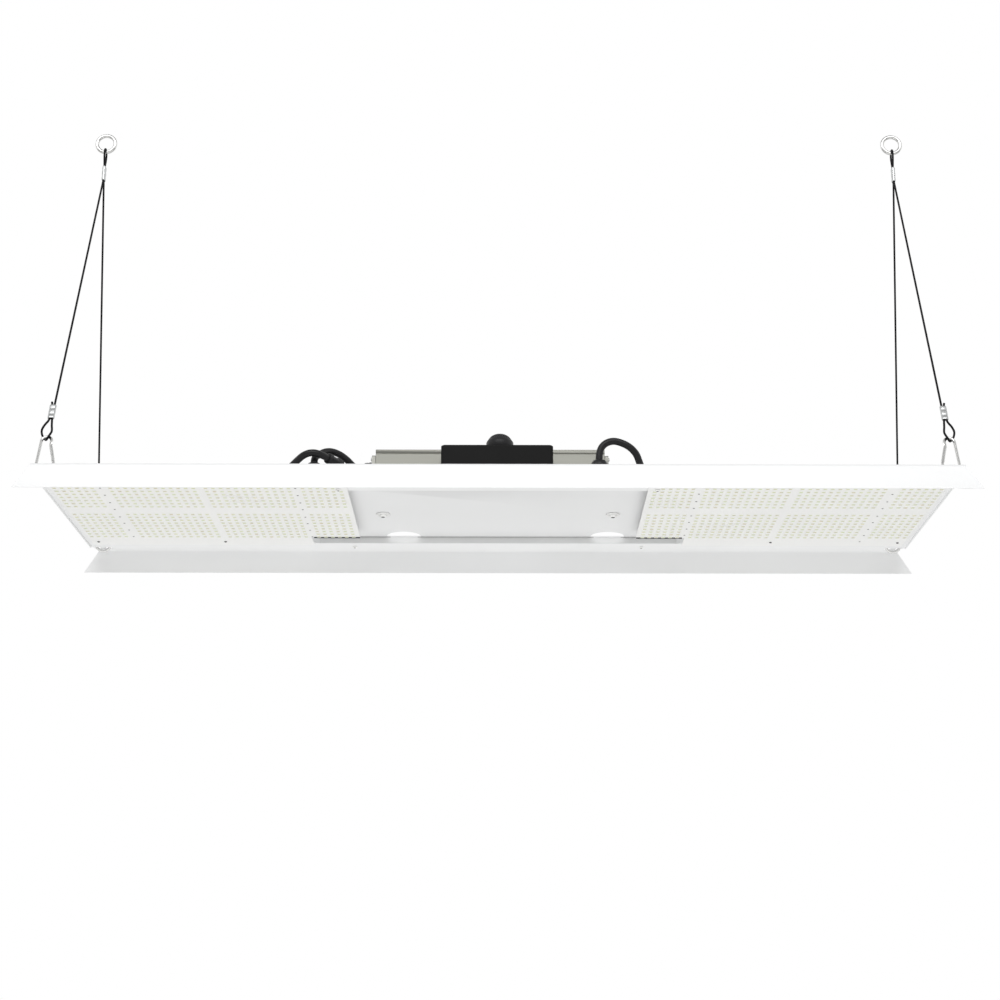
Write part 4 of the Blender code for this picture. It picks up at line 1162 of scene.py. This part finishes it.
def gland_meshes(kind, reach, behind):
    """A cable gland: hexagon body, ribbed dome nut, rubber lip and hexagon locknut.
    z = 0 at the outside of the sheet it grips, which is behind thick."""
    bore = LEAD_RADIUS + 0.1 * MM

    def hexagon(radius, z, angle):
        if radius < 7.5 * MM:
            return radius
        sector = (angle + math.pi / 6) % (math.pi / 3) - math.pi / 6
        return min(radius, radius * HEX_FLAT / math.cos(sector))

    def ribs(radius, z, angle):
        deep = 0.4 * MM if radius > 8.4 * MM else 0
        return radius - deep * (0.5 - 0.5 * math.cos(GLAND_RIBS * angle))

    back = -behind
    body = [(bore, back - 4 * MM), (5.7 * MM, back - 4 * MM), (5.7 * MM, 0.3 * MM)]
    body += [(9.9 * MM, 0.3 * MM), (10.5 * MM, 0.9 * MM), (10.5 * MM, 4 * MM)]
    body += [(9.9 * MM, 4.6 * MM), (bore, 4.6 * MM)]
    dome = [(bore, 4.9 * MM), (9.5 * MM, 4.9 * MM), (9.9 * MM, 5.5 * MM)]
    dome += [(9.8 * MM, reach * 0.6), (9.6 * MM, reach * 0.72), (9.0 * MM, reach * 0.8)]
    dome += [(7.9 * MM, reach * 0.89), (6.4 * MM, reach * 0.95), (5.4 * MM, reach - 0.6 * MM)]
    dome += [(bore, reach - 0.6 * MM)]
    nut = [(5.8 * MM, back - 3.4 * MM), (7.8 * MM, back - 3.4 * MM)]
    nut += [(8.3 * MM, back - 2.9 * MM), (8.3 * MM, back - 0.8 * MM)]
    nut += [(7.8 * MM, back - GAP), (5.8 * MM, back - GAP)]
    lip = [(bore, reach - 0.5 * MM), (5.1 * MM, reach - 0.5 * MM)]
    lip += [(5.0 * MM, reach - 0.1 * MM), (4.6 * MM, reach), (bore, reach)]
    parts = (
        ("body", body, hexagon, BLACK_NYLON),
        ("dome", dome, ribs, BLACK_NYLON),
        ("nut", nut, hexagon, BLACK_NYLON),
        ("lip", lip, None, BLACK_RUBBER_AND_SHADOW),
    )
    meshes = {}
    for name, profile, shape, finish in parts:
        meshes[name] = to_mesh(f"{kind}_{name}", lathe(profile, 72, True, shape))
        meshes[name].materials.append(finish)
    return meshes


def build_glands():
    kinds = (
        (TRAY_GLANDS, gland_meshes("tray", TRAY_REACH, SHEET)),
        (DRIVER_GLANDS, gland_meshes("driver", DRIVER_REACH, END_PLATE)),
    )
    for places, meshes in kinds:
        for node, (place, way) in places.items():
            turn = (0, way * math.pi / 2, 0)
            for part, mesh in meshes.items():
                made = link(f"{node}_{part}", mesh, at(*place), turn)
                if part == "body":
                    stand_for(made, node)
                else:
                    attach(made, "light")


def build_coupler():
    """The coupler on the mains lead: three ribs, a waist and a plain collar."""
    route = [at(*(Vector(p) * MM)) for p in LEAD_ROUTES["ac_lead"]]
    low, high = (route[k] for k in COUPLER_SPAN)
    long = (high - low).length
    outer, waist, bore = 6.4 * MM, 5.6 * MM, LEAD_RADIUS + 0.1 * MM
    profile = [(bore, 0), (waist - 0.3 * MM, 0), (waist, 0.4 * MM)]
    for k in range(3):
        start = 1 * MM + k * 3 * MM
        profile += [(outer - 0.2 * MM, start), (outer, start + 0.3 * MM)]
        profile += [(outer, start + 1.3 * MM), (outer - 0.2 * MM, start + 1.6 * MM)]
        profile += [(waist, start + 2.1 * MM)]
    profile += [(waist, long - 6.5 * MM), (outer - 0.1 * MM, long - 6 * MM)]
    profile += [(outer, long - 5.6 * MM), (outer, long - 1.2 * MM)]
    profile += [(outer - 0.4 * MM, long - 0.4 * MM), (outer - 1 * MM, long), (bore, long)]
    turn = (high - low).to_track_quat("Z", "Y").to_euler()
    mesh = to_mesh("ribbed_coupler", lathe(profile, 48, True))
    mesh.materials.append(BLACK_NYLON)
    return stand_for(link("ribbed_coupler", mesh, low, turn), "lead_coupler")


def build_connector():
    """The inlet connector: tapered boot, ribbed collar and three pins in its mouth."""
    low, high = corners("mains_connector")
    middle = (low + high) / 2
    long = high.x - low.x
    radius = (high.z - low.z) / 2

    def ribs(r, z, angle):
        if 26 * MM < z < 40 * MM and r > 8.4 * MM:
            return r - 0.4 * MM * (0.5 - 0.5 * math.cos(COLLAR_RIBS * angle))
        return r

    profile = [(0, 0), (4.6 * MM, 0), (5 * MM, 0.5 * MM)]
    for k in range(5):
        profile += [(5.1 * MM + k * 0.3 * MM, 1.5 * MM + k * 2.4 * MM)]
        profile += [(5.9 * MM + k * 0.3 * MM, 2 * MM + k * 2.4 * MM)]
    profile += [(7.4 * MM, 14 * MM), (8 * MM, 16 * MM), (8 * MM, 25 * MM)]
    profile += [(radius, 26.2 * MM)]
    profile += [(radius, 27 * MM + k * 3 * MM) for k in range(5)]
    profile += [(radius, 40 * MM), (8.6 * MM, 41 * MM), (8.6 * MM, long - 0.5 * MM)]
    profile += [(8.1 * MM, long), (7.4 * MM, long), (7.4 * MM, long - MOUTH_DEPTH)]
    profile += [(0, long - MOUTH_DEPTH)]
    shape = lathe(profile, 96, radius_at=ribs)
    made = link(
        "inlet_connector",
        to_mesh("inlet_connector", shape),
        (high.x, middle.y, middle.z),
        (0, -math.pi / 2, 0),
    )
    made.data.materials.append(BLACK_NYLON)
    stand_for(made, "mains_connector")
    pin = [(0, 10 * MM), (0.7 * MM, 10 * MM), (1.1 * MM, 9.4 * MM), (1.1 * MM, 0), (0, 0)]
    mesh = to_mesh("inlet_pin", lathe(pin, 16))
    mesh.materials.append(ZINC)
    for k in range(PIN_COUNT):
        angle = math.pi / 2 + k * 2 * math.pi / PIN_COUNT
        place = (
            low.x + MOUTH_DEPTH,
            middle.y + PIN_CIRCLE * math.cos(angle),
            middle.z + PIN_CIRCLE * math.sin(angle),
        )
        put(f"inlet_pin_{k}", mesh, place, (0, -math.pi / 2, 0))
    dressed("connector_clip", BLACK_NYLON, 0.25 * MM)
    low, high = corners("connector_clip")
    head = pan_head("clip_screw_head", *CLIP_HEAD, ZINC)
    for k, y in enumerate((low.y + 5 * MM, high.y - 5 * MM)):
        put(f"clip_screw_{k}", head, ((low.x + high.x) / 2, y, low.z + 1.2 * MM))
    return made


# ---------------------------------------------------------------- stage

FLOOR_DEPTH = 1.6
FLOOR_HALF = 12
SKY_OVERHEAD = 0.5
SKY_FRONT = 0.35

# Each light's place, what it points at, its size and its power in watts
LIGHTS = {
    "key_light": ((-0.1, -2.6, 1.3), (0, 0, -0.5), (3.4, 1.2), 50),
    "fill_light": ((0, -0.2, -1.58), (0, -0.2, 0), (3.4, 2.4), 9),
}


def build_stage():
    finish = surface("floor_paint", (0.8, 0.8, 0.79), 0.8, spread=0.01, blotch=2, grain=60)
    floor = bmesh.new()
    bmesh.ops.create_grid(floor, x_segments=1, y_segments=1, size=FLOOR_HALF)
    made = link("floor", to_mesh("floor", floor), (0, 0, -FLOOR_DEPTH))
    made.data.materials.append(finish)
    made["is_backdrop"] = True


def area_light(name, place, aim, size, power):
    data = bpy.data.lights.new(name, "AREA")
    data.shape = "RECTANGLE"
    data.size, data.size_y = size
    data.energy = power
    made = link(name, data, place)
    run = Vector(aim) - Vector(place)
    made.rotation_euler = run.to_track_quat("-Z", "Y").to_euler()
    made.visible_camera = False


def build_world():
    """White all round at the horizon, dimmer overhead and towards the dark end of the
    studio at -Y. What the camera sees directly stays white."""
    world = bpy.data.worlds.new("studio")
    bpy.context.scene.world = world
    world.use_nodes = True
    tree = world.node_tree
    way = add_node(tree, "TexCoord").outputs["Generated"]
    part = add_node(tree, "SeparateXYZ", Vector=way)
    overhead = add_node(
        tree,
        "MapRange",
        Value=part.outputs["Z"],
        From_Min=0.5,
        From_Max=0.95,
        To_Min=1.0,
        To_Max=SKY_OVERHEAD,
    )
    front = add_node(
        tree,
        "MapRange",
        Value=part.outputs["Y"],
        From_Min=-0.2,
        From_Max=-0.9,
        To_Min=1.0,
        To_Max=SKY_FRONT,
    )
    level = add_node(tree, "Math", {"operation": "MULTIPLY"})
    tree.links.new(overhead.outputs["Result"], level.inputs[0])
    tree.links.new(front.outputs["Result"], level.inputs[1])
    shown = add_node(tree, "Math", {"operation": "MAXIMUM"})
    seen = add_node(tree, "LightPath").outputs["Is Camera Ray"]
    tree.links.new(level.outputs[0], shown.inputs[0])
    tree.links.new(seen, shown.inputs[1])
    sky = tree.nodes["Background"]
    sky.inputs["Color"].default_value = (1, 1, 1, 1)
    tree.links.new(shown.outputs[0], sky.inputs["Strength"])


def build_lights():
    for name, facts in LIGHTS.items():
        area_light(name, *facts)
    bpy.context.scene.view_settings.view_transform = "Standard"


# ---------------------------------------------------------------- the whole light


build_camera()
build_slings()
build_leads(build_connector(), build_coupler())
build_hooks()
build_glands()
build_hood()
build_boards()
build_driver()
build_dimmer()
build_stage()
build_world()
build_lights()

boxes = {"cad": CAD_BOX, "visual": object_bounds()}
{k: [[float(c) for c in p] for p in v] for k, v in boxes.items()}
